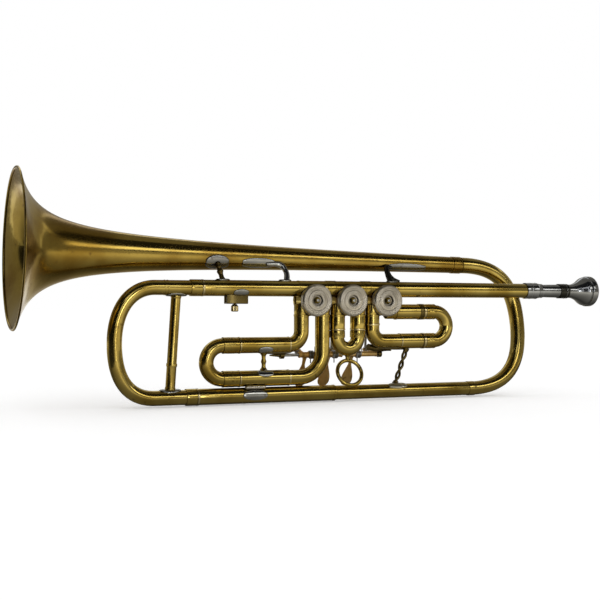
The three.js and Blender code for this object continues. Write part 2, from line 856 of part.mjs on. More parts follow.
// The link from the stop arm's pin down and back to the lever's cross pin.
function makeLink({ name, x }) {
  const pinX = x - crankSide;
  const upper = at(pinX, eyeFront + eyeWidth / 2, valveHeight + crankSide);
  const lower = at(pinX, axleDepth + eyeDepth, axleHeight + leverRise);
  const upperInner = linkPinRadius + eyeGap;
  const lowerInner = crossPinRadius + eyeGap;
  const ring = (centre, direction, inner) => {
    const from = centre.clone().addScaledVector(direction, -eyeWidth / 2);
    const to = centre.clone().addScaledVector(direction, eyeWidth / 2);
    return straight(from, to, inner + eyeWall, inner, inner + eyeWall, inner, smallSides);
  };
  const hole = (centre, direction, inner) => {
    const from = centre.clone().addScaledVector(direction, -eyeWidth);
    const to = centre.clone().addScaledVector(direction, eyeWidth);
    return rod(from, to, inner);
  };
  const start = upper.clone().add(at(0, 0, -upperInner));
  const end = lower.clone().add(at(0, 0, lowerInner));
  const bend = new THREE.CubicBezierCurve3(
    start,
    start.clone().lerp(at(start.x, start.y, end.z), 0.5),
    end.clone().lerp(at(end.x, end.y, start.z), 0.5),
    end,
  );
  const shaft = pipe([{ curve: bend, steps: bowSteps, outer: [linkRadius, linkRadius] }], {
    sides: smallSides,
  });
  add(
    "link_" + name,
    carve(
      [ring(upper, Y, upperInner), ring(lower, X, lowerInner), shaft],
      [hole(upper, Y, upperInner), hole(lower, X, lowerInner)],
    ),
    steel,
  );
}

const leverSwing = Math.asin(leverRise / leverReach);
const eyeDepth = (leverReach * (1 + Math.cos(leverSwing))) / 2;

// A lever: its tubular hub on the axle, the short arm with a cross pin, and the long arm with its paddle.
function makeLever(valve, paddleX) {
  const pinX = valve.x - crankSide;
  const armX = pinX + eyeWidth / 2 + eyeGap + crossPinRadius;
  const springX = paddleX + hubMargin;
  const from = Math.min(pinX, paddleX) - hubMargin;
  const to = Math.max(armX + crossPinRadius, springX + springLength) + hubEnd;
  const centre = (x) => at(x, axleDepth, axleHeight);
  const barrel = rod(centre(from), centre(to), hubRadius);
  const holeRadius = axleRadius + runningGap;
  const hole = rod(centre(from - seam), centre(to + seam), holeRadius);
  const onPin = (x) => at(x, axleDepth + leverReach * Math.cos(leverSwing), axleHeight + leverRise);
  const shortArm = rod(centre(armX), onPin(armX), crossPinRadius);
  const pinEnd = pinX - (crank - crankSide) - eyeWidth / 2 - eyeGap;
  const crossPin = rod(onPin(armX + crossPinRadius), onPin(pinEnd), crossPinRadius);
  const down = at(0, Math.sin(turnOf(paddleLean)), -Math.cos(turnOf(paddleLean)));
  const arm = rod(
    centre(paddleX),
    centre(paddleX).addScaledVector(down, paddleStart + armRadius),
    armRadius,
    armRadius * armTaperShare,
  );
  const leaf = new THREE.Shape();
  const middle = (paddleStart + paddleTip) / 2;
  leaf.moveTo(0, -paddleStart);
  const wide = paddleHalfWidth;
  const bulge = paddleHalfWidth * paddleBulgeShare;
  leaf.bezierCurveTo(wide, -paddleStart, bulge, -middle, wide, -middle);
  leaf.bezierCurveTo(wide, -paddleTip, wide / 2, -paddleTip, 0, -paddleTip);
  leaf.bezierCurveTo(-wide / 2, -paddleTip, -wide, -paddleTip, -wide, -middle);
  leaf.bezierCurveTo(-bulge, -middle, -wide, -paddleStart, 0, -paddleStart);
  const plate = new THREE.ExtrudeGeometry(leaf, {
    depth: paddleThickness,
    bevelEnabled: false,
    curveSegments: turnSteps,
  });
  plate.translate(0, 0, -paddleThickness / 2).rotateX(Math.PI / 2 + turnOf(paddleLean));
  plate.translate(paddleX, axleDepth, axleHeight);
  add("lever_" + valve.name, carve([barrel, shortArm, crossPin, arm, plate], [hole]), leverBrass);
  makeSpring(valve.name, springX);
}

// The return spring that is coiled round a lever's hub, with two straight ends.
function makeSpring(name, x) {
  const coilRadius = hubRadius + runningGap + springWire;
  class Coil extends THREE.Curve {
    getPoint(share) {
      const angle = turnOf(share * springTurns);
      return at(
        x + share * (springLength - 2 * springWire) + springWire,
        axleDepth - coilRadius * Math.cos(angle),
        axleHeight + coilRadius * Math.sin(angle),
      );
    }
  }
  const coil = new Coil();
  const start = coil.getPoint(0);
  const end = coil.getPoint(1);
  const wire = [springWire, springWire];
  const rings = [
    { curve: line(start.clone().add(at(0, 0, -springLeg)), start), outer: wire },
    { curve: coil, steps: springTurns * coilSteps, outer: wire },
    { curve: line(end, end.clone().add(at(0, 0, springLeg))), outer: wire },
  ];
  add("spring_" + name, pipe(rings, { sides: wireSides }), steel);
}

// An eye on the lever axle, carried by a horn-shaped arm from a slide's tube.
function makeAxleBracket(name, eyeX, foot) {
  const inner = axleRadius + seam;
  const centre = at(eyeX, axleDepth, axleHeight);
  const half = at(bracketEyeWidth / 2, 0, 0);
  const outer = inner + bracketEyeWall;
  const from = centre.clone().sub(half);
  const to = centre.clone().add(half);
  const eye = rod(from, to, outer, outer, tubeSides);
  const bend = new THREE.QuadraticBezierCurve3(centre, at(centre.x, centre.y, foot.z), foot);
  const arm = pipe([{ curve: bend, steps: turnSteps, outer: [bracketArmRadius, bracketRootRadius] }], {
    sides: smallSides,
  });
  const hole = rod(from.clone().sub(half), to.clone().add(half), inner, inner, tubeSides);
  add(name, carve([eye, arm], [hole]), nickel);
}

function makeLevers() {
  const axleFrom = at(axleStart, axleDepth, axleHeight);
  const axleTo = at(axleEnd, axleDepth, axleHeight);
  add("lever_axle", rod(axleFrom, axleTo, axleRadius), steel);
  valves.forEach((valve, i) => makeLever(valve, lastPaddleX + leverPitch * (2 - i)));
  const lean = (sleeveRadius + seam + bracketRootRadius) * Math.SQRT1_2;
  makeAxleBracket(
    "axle_bracket_left",
    axleStart + bracketEyeWidth,
    at(leftBracketFoot, lean, slide3Upper - lean),
  );
  makeAxleBracket(
    "axle_bracket_right",
    axleEnd - bracketEyeWidth / 2,
    at(rightBracketFoot, lean, slide1Lower - lean),
  );
}

// The walls of a run of bent tubing with one outer and one inner radius.
const fixedWalls = { outer: [fixedRadius, fixedRadius], inner: [boreRadius, boreRadius] };
const legWalls = { outer: [legRadius, legRadius], inner: [boreRadius, boreRadius] };
const sleeveWalls = { outer: [sleeveRadius, sleeveRadius], inner: [sleeveBore, sleeveBore] };

// A fixed leg that leaves a lower port, turns to run lengthwise and ends in a sleeve.
function makeLeg(name, portX, height, turn, way, sleeveStart, sleeveEnd) {
  const top = at(portX, 0, stubEnd - seam);
  const bendTop = at(portX, 0, height + turn);
  const bendEnd = at(portX + way * turn, 0, height);
  const sleeveAt = at(sleeveStart, 0, height);
  const middle = at(portX, 0, height);
  add(
    name,
    pipe([
      { curve: line(top, bendTop), ...fixedWalls },
      { curve: corner(bendTop, middle, bendEnd), steps: turnSteps, ...fixedWalls },
      { curve: line(bendEnd, sleeveAt), ...fixedWalls },
      { curve: line(sleeveAt, at(sleeveEnd, 0, height)), ...sleeveWalls },
    ]),
    brass,
  );
}

// The sliding bow of a valve slide with its two inner legs and the ferrules at its ends.
function slideBow(upperTip, upperTurn, lowerTurn, lowerTip, direction, ferruleFrom, ferruleTo) {
  const reach = upperTurn.distanceTo(lowerTurn) / 2;
  const [first, second] = bow(upperTurn, lowerTurn, direction, reach);
  const bend = pipe([
    { curve: line(upperTip, upperTurn), ...legWalls },
    { curve: first, steps: turnSteps, ...legWalls },
    { curve: second, steps: turnSteps, ...legWalls },
    { curve: line(lowerTurn, lowerTip), ...legWalls },
  ]);
  const ferrules = [upperTurn, lowerTurn].map((turn) => {
    const offset = turn.clone().addScaledVector(direction, -turn.dot(direction));
    const start = offset.clone().addScaledVector(direction, ferruleFrom);
    const end = offset.clone().addScaledVector(direction, ferruleTo);
    return straight(start, end, ferruleRadius, legRadius - tubeWall / 2);
  });
  return [bend, ...ferrules];
}

function makeSlide1() {
  const upperStart = valvePitch + stubReach + seam;
  add(
    "slide_1_upper_sleeve",
    straight(at(upperStart, 0, slide1Upper), at(slide1SleeveEnd, 0, slide1Upper), sleeveRadius, sleeveBore),
    brass,
  );
  makeLeg(
    "slide_1_lower_leg",
    valvePitch - portOffset,
    slide1Lower,
    slide1Turn,
    1,
    slide1LowerSleeve,
    slide1SleeveEnd,
  );
  const tip = slide1SleeveEnd - slide1LegInside;
  add(
    "slide_1_bow",
    carve(
      slideBow(
        at(tip, 0, slide1Upper),
        at(slide1BowStart, 0, slide1Upper),
        at(slide1BowStart, 0, slide1Lower),
        at(tip, 0, slide1Lower),
        X,
        slide1SleeveEnd + seam,
        slide1BowStart,
      ),
    ),
    brass,
  );
}

function makeSlide2() {
  for (const side of [-1, 1]) {
    const x = side * portOffset;
    add(
      "slide_2_sleeve_" + (side < 0 ? "left" : "right"),
      straight(at(x, 0, stubEnd - seam), at(x, 0, slide2SleeveEnd), sleeveRadius, sleeveBore),
      brass,
    );
  }
  const down = Z.clone().negate();
  const turnAt = slide2SleeveEnd - seam - slide2FerruleLength;
  const tip = slide2SleeveEnd + slide2LegInside;
  const bowBottom = turnAt - portOffset;
  const ring = new THREE.TorusGeometry(ringRadius, ringWire, smallSides, valveSides);
  ring.rotateX(Math.PI / 2 - turnOf(ringTiltShare));
  ring.translate(0, -ringForward, bowBottom - ringDrop);
  const lean = ringRadius * Math.sin(turnOf(ringTiltShare));
  const rise = ringRadius * Math.cos(turnOf(ringTiltShare));
  const lug = rod(
    at(0, 0, bowBottom - (legRadius + boreRadius) / 2),
    at(0, lean - ringForward, bowBottom - ringDrop + rise),
    lugRadius,
  );
  add(
    "slide_2_bow",
    carve([
      ...slideBow(
        at(-portOffset, 0, tip),
        at(-portOffset, 0, turnAt),
        at(portOffset, 0, turnAt),
        at(portOffset, 0, tip),
        down,
        -slide2SleeveEnd + seam,
        -turnAt,
      ),
      ring,
      lug,
    ]),
    brass,
  );
}

function makeSlide3() {
  const left = X.clone().negate();
  makeLeg(
    "slide_3_upper_leg",
    -valvePitch - portOffset,
    slide3Upper,
    slide3UpperTurn,
    -1,
    slide3SleeveStart,
    slide3SleeveEnd,
  );
  makeLeg(
    "slide_3_lower_leg",
    -valvePitch + portOffset,
    slide3Lower,
    slide3LowerTurn,
    -1,
    slide3SleeveStart,
    slide3SleeveEnd,
  );
  const tip = slide3SleeveEnd + slide3LegInside;
  add(
    "slide_3_bow",
    carve(
      slideBow(
        at(tip, 0, slide3Upper),
        at(slide3BowStart, 0, slide3Upper),
        at(slide3BowStart, 0, slide3Lower),
        at(tip, 0, slide3Lower),
        left,
        -slide3SleeveEnd + seam,
        -slide3BowStart,
      ),
    ),
    brass,
  );
  const top = slide3Upper - sleeveRadius - seam;
  const length = top - (slide3Lower + sleeveRadius + seam);
  const middle = length / 2;
  const footHeight = length * postFootShare;
  const halfBead = length * postBeadShare;
  add(
    "slide_3_post",
    turned(at(postX, 0, top), at(0, 0, -1), [
      [0, 0],
      [0, postFootRadius],
      [footHeight, postRadius],
      [middle - halfBead, postRadius],
      [middle, postBeadRadius],
      [middle + halfBead, postRadius],
      [length - footHeight, postRadius],
      [length, postFootRadius],
      [length, 0],
    ]),
    brass,
  );
}

// The turned post between the upper sleeve and the bell tail, with a plate at each end.
function makeBellPost() {
  const half = bellPlateLength / 2;
  const upper = onBell(bellPostX, bellPostBead + seam);
  const ball = new THREE.SphereGeometry(bellPostBead, smallSides, turnSteps).translate(...upper);
  const toLeg = at(0, upper.y, upper.z).normalize();
  const footX = bellPostX + bellPostLean;
  const lower = at(footX, 0, 0).addScaledVector(toLeg, sleeveRadius + plateWall / 2 + seam);
  const length = upper.distanceTo(lower);
  const post = turned(upper, lower.clone().sub(upper), [
    [0, 0],
    [0, bellPostRadius],
    [length * bellPostBeadShares[0], bellPostRadius],
    [length * bellPostBeadShares[1], bellPostBead],
    [length * bellPostBeadShares[2], bellPostRadius],
    [length, bellPostRadius],
    [length, 0],
  ]);
  const upperPlate = saddle(
    bellLine,
    bellPostX - half,
    bellPostX + half,
    bellDown,
    bellPlateAngleShare,
    bellRadius,
  );
  const lowerPlate = saddle(
    upperLine,
    footX - bellFootLength / 2,
    footX + bellFootLength / 2,
    toLeg,
    bellPlateAngleShare,
    () => sleeveRadius,
  );
  add("bell_post", carve([post, ball, upperPlate, lowerPlate]), nickel);
}

// A long plate on the bell tail with a strap that hooks down to a short plate on the tube below.
function makeBellBracket(name, from, to, way, out, footBefore, footAfter, tubeRadius) {
  const end = way > 0 ? to : from;
  const start = onBell(end - way * out, strapSeat);
  const beyond = onBell(end + (way * out) / 2, strapSeat);
  const landing = at(end + way * out * strapLandingShare, 0, tubeRadius + seam + plateWall / 2);
  const side = start.clone().lerp(landing, 0.5).setX(end + way * out);
  const path = new THREE.CatmullRomCurve3([start, beyond, side, landing]);
  const strap = pipe([{ curve: path, steps: 2 * turnSteps, outer: [strapWidth, strapWidth] }], {
    sides: smallSides,
    wideShare: strapThickness / strapWidth,
  });
  const plate = saddle(bellLine, from, to, bellDown, longPlateAngleShare, bellRadius, longPlateEndShare);
  const foot = saddle(
    upperLine,
    landing.x - footBefore,
    landing.x + footAfter,
    Z,
    longPlateAngleShare,
    () => tubeRadius,
  );
  add(name, carve([plate, foot, strap]), nickel);
}

// The brace of two strands wound round each other, from slide 1 to the lower tube.
function makeTwistedBrace() {
  const drop = slide1Lower - sleeveRadius + mainDrop - legRadius;
  const dip = (twistFootRadius * (twistTopX - twistFootX)) / drop;
  const top = at(twistTopX, 0, slide1Lower - sleeveRadius - seam - dip);
  const foot = at(twistFootX, 0, -mainDrop + legRadius + seam + dip);
  const axis = foot.clone().sub(top);
  const length = axis.length();
  const steps = twistTurns * coilSteps;
  const rope = new THREE.CylinderGeometry(1, 1, length, 2 * wireSides, steps);
  const place = rope.attributes.position;
  for (let i = 0; i < place.count; i++) {
    const angle = Math.atan2(place.getZ(i), place.getX(i));
    const twist = turnOf((place.getY(i) / length) * twistTurns);
    const radius = strandRadius * (ropeShare + ropeSwingShare * Math.cos(2 * (angle - twist)));
    place.setX(i, place.getX(i) * radius).setZ(i, place.getZ(i) * radius);
  }
  rope.translate(0, length / 2, 0);
  const end = (place, way) =>
    turned(place, axis.clone().multiplyScalar(way), [
      [0, 0],
      [0, twistFootRadius],
      [twistFootHeight, 2 * strandRadius],
      [2 * twistFootHeight, strandRadius],
      [2 * twistFootHeight, 0],
    ]);
  add("twisted_brace", carve([aim(rope, top, axis), end(top, 1), end(foot, -1)]), brass);
}

function makeValleyBrace() {
  const gap = slide3Lower + mainDrop;
  const apart = sleeveRadius + seam + valleyRadius;
  const forward = Math.sqrt(apart * apart - (gap * gap) / 4);
  const bar = new THREE.CapsuleGeometry(valleyRadius, valleyLength, 2, smallSides).rotateZ(Math.PI / 2);
  add("valley_brace", bar.translate(valleyX, -forward, -mainDrop + gap / 2), nickel);
}

function makeLyreSocket() {
  const top = -sleeveRadius / 2;
  const height = lyreBottom + top;
  const block = new THREE.BoxGeometry(lyreLength, lyreWidth, height).translate(lyreX, 0, top - height / 2);
  const socketAt = -lyreBottom + lyreFloor + lyreSocket / 2;
  const socket = new THREE.BoxGeometry(lyreLength * 2, lyreSocket, lyreSocket).translate(lyreX, 0, socketAt);
  const room = sleeveRadius + seam;
  const tube = rod(at(lyreX - lyreLength, 0, 0), at(lyreX + lyreLength, 0, 0), room, room, tubeSides);
  const holeRadius = lyreScrewRadius + runningGap;
  const holeEnd = at(lyreScrewX, 0, -lyreBottom - seam);
  const hole = rod(at(lyreScrewX, 0, socketAt), holeEnd, holeRadius);
  add("lyre_socket", carve([block], [socket, tube, hole]), brass);
  const head = -lyreBottom - seam;
  const shaftTop = socketAt - lyreSocket / 2;
  add(
    "lyre_screw",
    turned(at(lyreScrewX, 0, shaftTop), at(0, 0, -1), [
      [0, 0],
      [0, lyreScrewRadius],
      [shaftTop - head, lyreScrewRadius],
      [shaftTop - head, lyreHeadRadius],
      [shaftTop - head + lyreHeadLength, lyreHeadRadius],
      [shaftTop - head + lyreHeadLength, 0],
    ]),
    brass,
  );
}

makeBell();
makeRearBow();
makeMainSlide();
makeLeadpipe();
makeValves();
makeLevers();
makeSlide1();
makeSlide2();
makeSlide3();
makeBellPost();
makeBellBracket(
  "bell_bracket_left",
  leftPlateStart,
  leftPlateEnd,
  1,
  leftStrapOut,
  strapFootLength,
  strapFootLength / 2,
  sleeveRadius,
);
makeBellBracket(
  "bell_bracket_right",
  rightPlateStart,
  rightPlateEnd,
  -1,
  rightStrapOut,
  strapFootLength / 2,
  strapFootLength,
  leadpipeRadius,
);
makeTwistedBrace();
makeValleyBrace();
makeLyreSocket();

// The origin is the middle of the instrument's box.
const middle = new THREE.Box3().setFromObject(trumpet).getCenter(new THREE.Vector3());
trumpet.position.copy(middle.negate());
const placed = new THREE.Group();
placed.add(trumpet);

export default placed;
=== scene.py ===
from math import asin, cos, hypot, pi, radians, sin, sqrt

import bmesh
import bpy
import numpy as np
from mathutils import Matrix, Vector


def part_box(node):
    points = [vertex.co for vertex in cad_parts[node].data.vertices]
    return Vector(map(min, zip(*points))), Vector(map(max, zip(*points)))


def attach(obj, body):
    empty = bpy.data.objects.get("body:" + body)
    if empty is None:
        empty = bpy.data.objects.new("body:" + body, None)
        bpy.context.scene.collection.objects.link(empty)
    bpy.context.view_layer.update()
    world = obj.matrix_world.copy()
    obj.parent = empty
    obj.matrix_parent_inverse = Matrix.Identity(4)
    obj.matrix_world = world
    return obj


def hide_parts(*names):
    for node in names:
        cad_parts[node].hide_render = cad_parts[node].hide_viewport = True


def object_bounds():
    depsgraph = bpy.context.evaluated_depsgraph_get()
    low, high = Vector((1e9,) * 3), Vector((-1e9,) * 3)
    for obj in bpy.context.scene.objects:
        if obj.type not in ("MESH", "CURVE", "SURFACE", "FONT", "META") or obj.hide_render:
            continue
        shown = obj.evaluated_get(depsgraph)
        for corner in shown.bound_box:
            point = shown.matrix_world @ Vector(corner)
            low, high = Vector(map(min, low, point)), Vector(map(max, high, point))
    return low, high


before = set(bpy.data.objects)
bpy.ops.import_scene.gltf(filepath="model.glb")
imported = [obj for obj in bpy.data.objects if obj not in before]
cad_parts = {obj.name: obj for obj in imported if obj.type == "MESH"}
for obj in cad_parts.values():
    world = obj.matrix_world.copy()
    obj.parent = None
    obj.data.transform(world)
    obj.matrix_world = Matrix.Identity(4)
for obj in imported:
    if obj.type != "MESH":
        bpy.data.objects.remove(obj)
cad_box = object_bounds()

# The looks of a rotary valve trumpet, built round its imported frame. Sizes are in millimetres. X runs from
# the bell to the mouthpiece and is zero at valve 2. Y points away from the screw caps, to the levers.
# Y and Z are zero on the axis of the leadpipe.

# Tubing. A seam is the gap between two pieces, and trim is sunk a little into what carries it
bore_radius = 5.6
leg_radius = 6.0
sleeve_bore = 6.2
sleeve_radius = 6.6
ferrule_radius = 6.8
fixed_radius = 6.3
end_ring_radius = ferrule_radius + 0.1
end_ring_bore = sleeve_bore + 0.1
seam = 0.3
sunk = 0.1
solder_rise = 0.3
solder_sunk = 0.4
solder_width = 1.5
round_share = 0.5523

# Valves
valve_pitch = 33
valves = {"1": valve_pitch, "2": 0, "3": -valve_pitch}
port_offset = 9.6
valve_height = -port_offset
casing_bore = 10.5
casing_radius = 12.2
casing_front = 9.4
casing_inside = 7.4
casing_rear = 9.6
casing_rim_radius = 13.4
casing_rim_length = 2.6
nose_radius = 5.5
nose_length = 2.8
stub_reach = 12.6
stub_start = 3.5
port_radius = 6.75
knuckle_band_width = 4.4
stem_radius = 2
pin_radius = 1.8
cap_face = 12.8
cap_skirt_end = 7.2
cap_skirt = 12.5
cap_radius = 13.4
cap_hole = 4.2
cap_inner_hole = 2.9
cap_groove_radius = 8.6
cap_ring_radii = (10.2, 11.7)
cap_knurls = 72
bumper_inner = 5.8
bumper_outer = 9
bumper_depth = 3
bumper_half_turn = 105
arm_thickness = 2.3
arm_hub_radius = 3.4
arm_lobe_radius = 2.3
arm_bar_radius = 2.1
lug_inner = 6.4
lug_outer = 8.7
lug_turn = -pi / 4
lug_half_turn = radians(26)
lug_rib = (2, 7.4)
lug_rib_turn = 0.35
lug_rib_radius = 1.1
stop_screw_radius = 2.4
crank = 4.5
crank_side = crank * sqrt(0.5)
link_pin_radius = 1.2
link_pin_length = 3.2
link_pin_head = 2
stop_plane = casing_rear + nose_length + 0.6
eye_front = stop_plane + arm_thickness + 1.2
eye_width = 2.2
eye_gap = 0.4
eye_wall = 1.1
link_radius = 1.1
link_steps = 24
link_nuts = (0.3, 0.7)

# Main tuning slide
main_drop = 87.7
upper_sleeve_end = -130.3
lower_sleeve_end = -134.1
upper_ferrule_end = -139.5
lower_ferrule_end = -142.8
upper_leg_inside = 26
main_bow_start = -168
main_bow_reach = 32.4
main_bow_shares = (0.61, 0.65)
main_bow_rings = (-160.6, -158.2)
brace_top = -151
brace_foot = -155.5
brace_radius = 3.95
brace_collar_share = 0.72
brace_collar_length = 2.4
flange_length = 17
flange_angle = 96

# Lower tube, rear bow and bell
lower_sleeve_start = -12.5
lower_tube_overlap = 8
rear_bow_start = 121.7
rear_bow_reach = 56
rear_bow_shares = (0.675, 0.715)
rear_bow_end_radius = 7.2
rear_bow_wall = 0.5
rear_bow_band_width = 7
bell_tail_height = 22.9
bell_mouth_height = 29
bell_mouth_x = -274
bell_mouth_radius = 63.5
bell_throat_radius = 7.08
bell_flare_length = 16.84
bell_taper = 0.0056
bell_wall = 0.6
bell_tail_band_width = 9
bell_tail_band_inset = 5
rim_radius = 1.2

# Leadpipe, receiver and mouthpiece
leadpipe_end_radius = 6.5
receiver_end = 197.4
receiver_length = 13.8
receiver_taper = 5.8
receiver_radius = 7.3
receiver_tip_radius = 6.4
receiver_collar_width = 4.6
receiver_collar_inset = 1.9
mouthpiece_collars = ((18.6, 25.2), (26, 28.4))
mouthpiece_collar_radius = 6.75

# Valve slides
slide1_upper = valve_height - port_offset
slide1_lower = slide1_upper - 25.4
slide1_sleeve_end = 73.9
slide1_bow_start = 84
slide1_leg_inside = 21
slide1_lower_sleeve = 49.5
slide1_turn = 10.5
slide1_leg_ring_height = -30
dark_ring_inset = 4.2
dark_ring_width = 3.6
lower_dark_ring_inset = 2.7
elbow_steps = 24
slide2_sleeve_end = -34.8
slide2_ferrule_length = 6
slide2_leg_inside = 9.6
ring_radius = 11.1
ring_wire = 1.65
ring_drop = 20.1
ring_forward = 4.6
ring_tilt = radians(24)
stub_end = valve_height - stub_reach
slide3_lower = -main_drop + 2 * sleeve_radius + 0.6
slide3_upper = stub_end + (slide3_lower - stub_end) * 0.472
slide3_sleeve_start = -53.9
slide3_sleeve_end = -98.5
slide3_bow_start = -112
slide3_leg_inside = 34
slide3_upper_turn = 11
slide3_lower_turn = 21
post_x = -76.2
# Of each plate on slide 3: half its length, the Y and Z of the way it faces, and the degrees it spans
slide3_plates = ((6.2, -0.82, -0.57, 52), (6.8, -0.75, 0.66, 56))

# Posts, brackets and plates
plate_wall = 0.8
plate_ends = 0.35
bell_post_x = -114
bell_post_lean = 2.5
bell_post_plate = 10
bell_post_foot_plate = 6
bell_post_plate_angle = 64
bracket_angle = radians(118)
bracket_plate_angle = 50
left_plate = (-92, -63)
right_plate = (43.6, 82)
left_strap_out = 8
right_strap_out = 3
left_landing = (7, 3.5)
right_landing = (3.5, 7)
strap_seat = 2.2
strap_widths = (1.6, 2.5, 2.3, 2.6)
strap_flatness = 0.85
webs = ((4, (1.6, 2.6, 2)), (9, (1.6, 2.4, 1)))
web_flatness = 0.8
twist_top_x = 56.8
twist_foot_x = 46
twist_turns = 1.75
strand_radius = 1.1
strand_offset = 1.35
strand_steps = 96
twist_plate = (-8, 9)
twist_plate_angle = 62
twist_plate_lean = radians(38)
valley_x = -85
valley_half_length = 9.2
valley_plate = (-11, 10)
valley_plate_angle = 72
lyre_x = -100.4
lyre_length = 18.2
lyre_width = 8
lyre_bottom = 12.8
lyre_wall = 1.4
lyre_square = 5
lyre_edge = 0.4
lyre_chamfer = 0.5
lyre_plate_angle = 52
lyre_plate_lean = radians(32)
lyre_plate_start = 4
lyre_screw_x = -101.6
lyre_knurls = 16

# Finger levers
axle_depth = 14
axle_height = -56
axle_radius = 1.3
axle_start = -58
axle_end = 39
axle_point_length = 11
axle_eye_radius = 3.1
axle_eye_bore = 1.6
axle_eye_half_width = 1.7
left_eye_inset = 3.4
right_eye_inset = 1.7
left_foot = (-82, -48)
right_foot = (36, 64)
foot_angle = 80
bracket_radii = (1.8, 2, 2.6)
horn_points = ((23, 7, -49.5), (31, 8, -51), (39, 7.5, -50), (53, 2.5, -45.8))
horn_radii = (2.6, 3, 2.6, 1.6, 0.8)
hub_radius = 2.4
hub_past_end = 3
hub_bore = axle_radius + 0.3
hub_bead_place = 2.4
lever_pitch = 22
last_paddle_x = -33
lever_reach = 12
lever_rise = 3.18
lever_swing = asin(lever_rise / lever_reach)
eye_depth = lever_reach * (1 + cos(lever_swing)) / 2
paddle_lean = radians(26.6)
paddle_start = 9.5
paddle_tip = 31.3
paddle_half_width = 5.4
paddle_thickness = 1.2
paddle_dish = 0.35
paddle_shoulder = 0.72
stalk_radii = (2.1, 1.5, 1.2)
cross_pin_radius = 1.1
spring_wire = 0.5
spring_offset = 3
spring_turns = 3
spring_length = 5
spring_leg = 7

# Fineness
tube_sides = 48
bell_sides = 144
bell_steps = 160
rim_steps = 24
cap_sides = 288
turned_sides = 96
hoop_steps = 72
main_bow_steps = 36
rear_bow_steps = 34
strap_steps = 12
web_steps = 8
small_sides = 28
coil_steps = 24
tiny = 1e-6

X, Y, Z = Vector((1, 0, 0)), Vector((0, 1, 0)), Vector((0, 0, 1))
knuckle_low, knuckle_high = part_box("knuckle_1")
origin = np.array((knuckle_low + knuckle_high) / 2) * 1000 - (valve_pitch / 2, 0, 0)


# Curves
def at(x, y, z):
    return Vector((x, y, z))


def unit(v):
    return v / np.linalg.norm(v)


def round_valve(turn):
    """The direction at an angle round a valve's axis, from X to Z."""
    return at(cos(turn), 0, sin(turn))


def cubic(a, b, c, d, steps):
    shares = [i / steps for i in range(steps + 1)]
    return [a * (1 - s) ** 3 + 3 * b * s * (1 - s) ** 2 + 3 * c * s**2 * (1 - s) + d * s**3 for s in shares]


def corner(start, middle, end, share=round_share, steps=20):
    """A quarter turn from one place to another round the corner between them."""
    return cubic(start, start.lerp(middle, share), end.lerp(middle, share), end, steps)


def bow(start, end, direction, reach, shares=(round_share, round_share), steps=26):
    """The two quarter turns of a bow that leaves both ends in one direction."""
    out = direction * reach
    apex = start.lerp(end, 0.5) + out
    first = corner(start, start + out, apex, shares[0], steps)
    return first + corner(apex, end + out, end, shares[1], steps)[1:]


def through(points, steps=10):
    """A smooth curve through the points given."""
    ends = [2 * points[0] - points[1], *points, 2 * points[-1] - points[-2]]
    made = []
    for a, b, c, d in zip(ends, ends[1:], ends[2:], ends[3:]):
        slope, bend, twist = c - a, 2 * a - 5 * b + 4 * c - d, 3 * b - a - 3 * c + d
        for i in range(steps):
            s = i / steps
            made.append(0.5 * (2 * b + slope * s + bend * s**2 + twist * s**3))
    return made + [points[-1]]


# Shells, each an array of places and a list of faces
def bridge(rings, closed=False):
    """The faces between rings of vertex numbers, each of one length. A pole repeats its one number."""
    faces = []
    pairs = list(zip(rings, rings[1:]))
    if closed:
        pairs.append((rings[-1], rings[0]))
    for a, b in pairs:
        for i in range(len(a)):
            j = (i + 1) % len(a)
            face = tuple(dict.fromkeys((a[i], a[j], b[j], b[i])))
            if len(face) > 2:
                faces.append(face)
    return faces


def circle(sides):
    angles = np.arange(sides) * 2 * pi / sides
    return np.cos(angles)[:, None], np.sin(angles)[:, None]


def eased(profile, size=0.25, steps=3):
    """The profile with its corners rounded over the size given, or less where its edges are short."""
    count = len(profile)
    closed = profile[0][1] > 0
    points = [np.array(p, float) for p in profile]
    made = []
    for i, point in enumerate(points):
        if not closed and i in (0, count - 1):
            made.append(point)
            continue
        before, after = points[i - 1], points[(i + 1) % count]
        near = min(size, 0.4 * np.linalg.norm(before - point), 0.4 * np.linalg.norm(after - point))
        start = point + unit(before - point) * near
        end = point + unit(after - point) * near
        for j in range(steps + 1):
            s = j / steps
            made.append(start * (1 - s) ** 2 + 2 * point * s * (1 - s) + end * s**2)
    return [tuple(p) for p in made]


def turned(place, direction, profile, sides=tube_sides, knurls=0, depth=0):
    """A turned shell from pairs of distance along its axis and radius. Knurls notch its widest rings."""
    turn = np.array(Z.rotation_difference(Vector(direction)).to_matrix())
    across, up = circle(sides)
    widest = max(radius for _, radius in profile)
    notches = np.cos(knurls * np.arange(sides) * 2 * pi / sides)[:, None]
    verts, rings, count = [], [], 0
    for along, radius in profile:
        if radius < tiny:
            verts.append(np.array([[0, 0, along]]))
            rings.append([count] * sides)
            count += 1
            continue
        reach = radius - depth * (0.5 - 0.5 * notches) if knurls and radius > widest - tiny else radius
        verts.append(np.hstack([across * reach, up * reach, np.full((sides, 1), along)]))
        rings.append(range(count, count + sides))
        count += sides
    return np.vstack(verts) @ turn.T + np.array(place), bridge(rings, profile[0][1] > 0)


def spread(values, count):
    """The values, spread evenly over the count given."""
    return np.interp(range(count), np.linspace(0, count - 1, np.size(values)), np.atleast_1d(values))


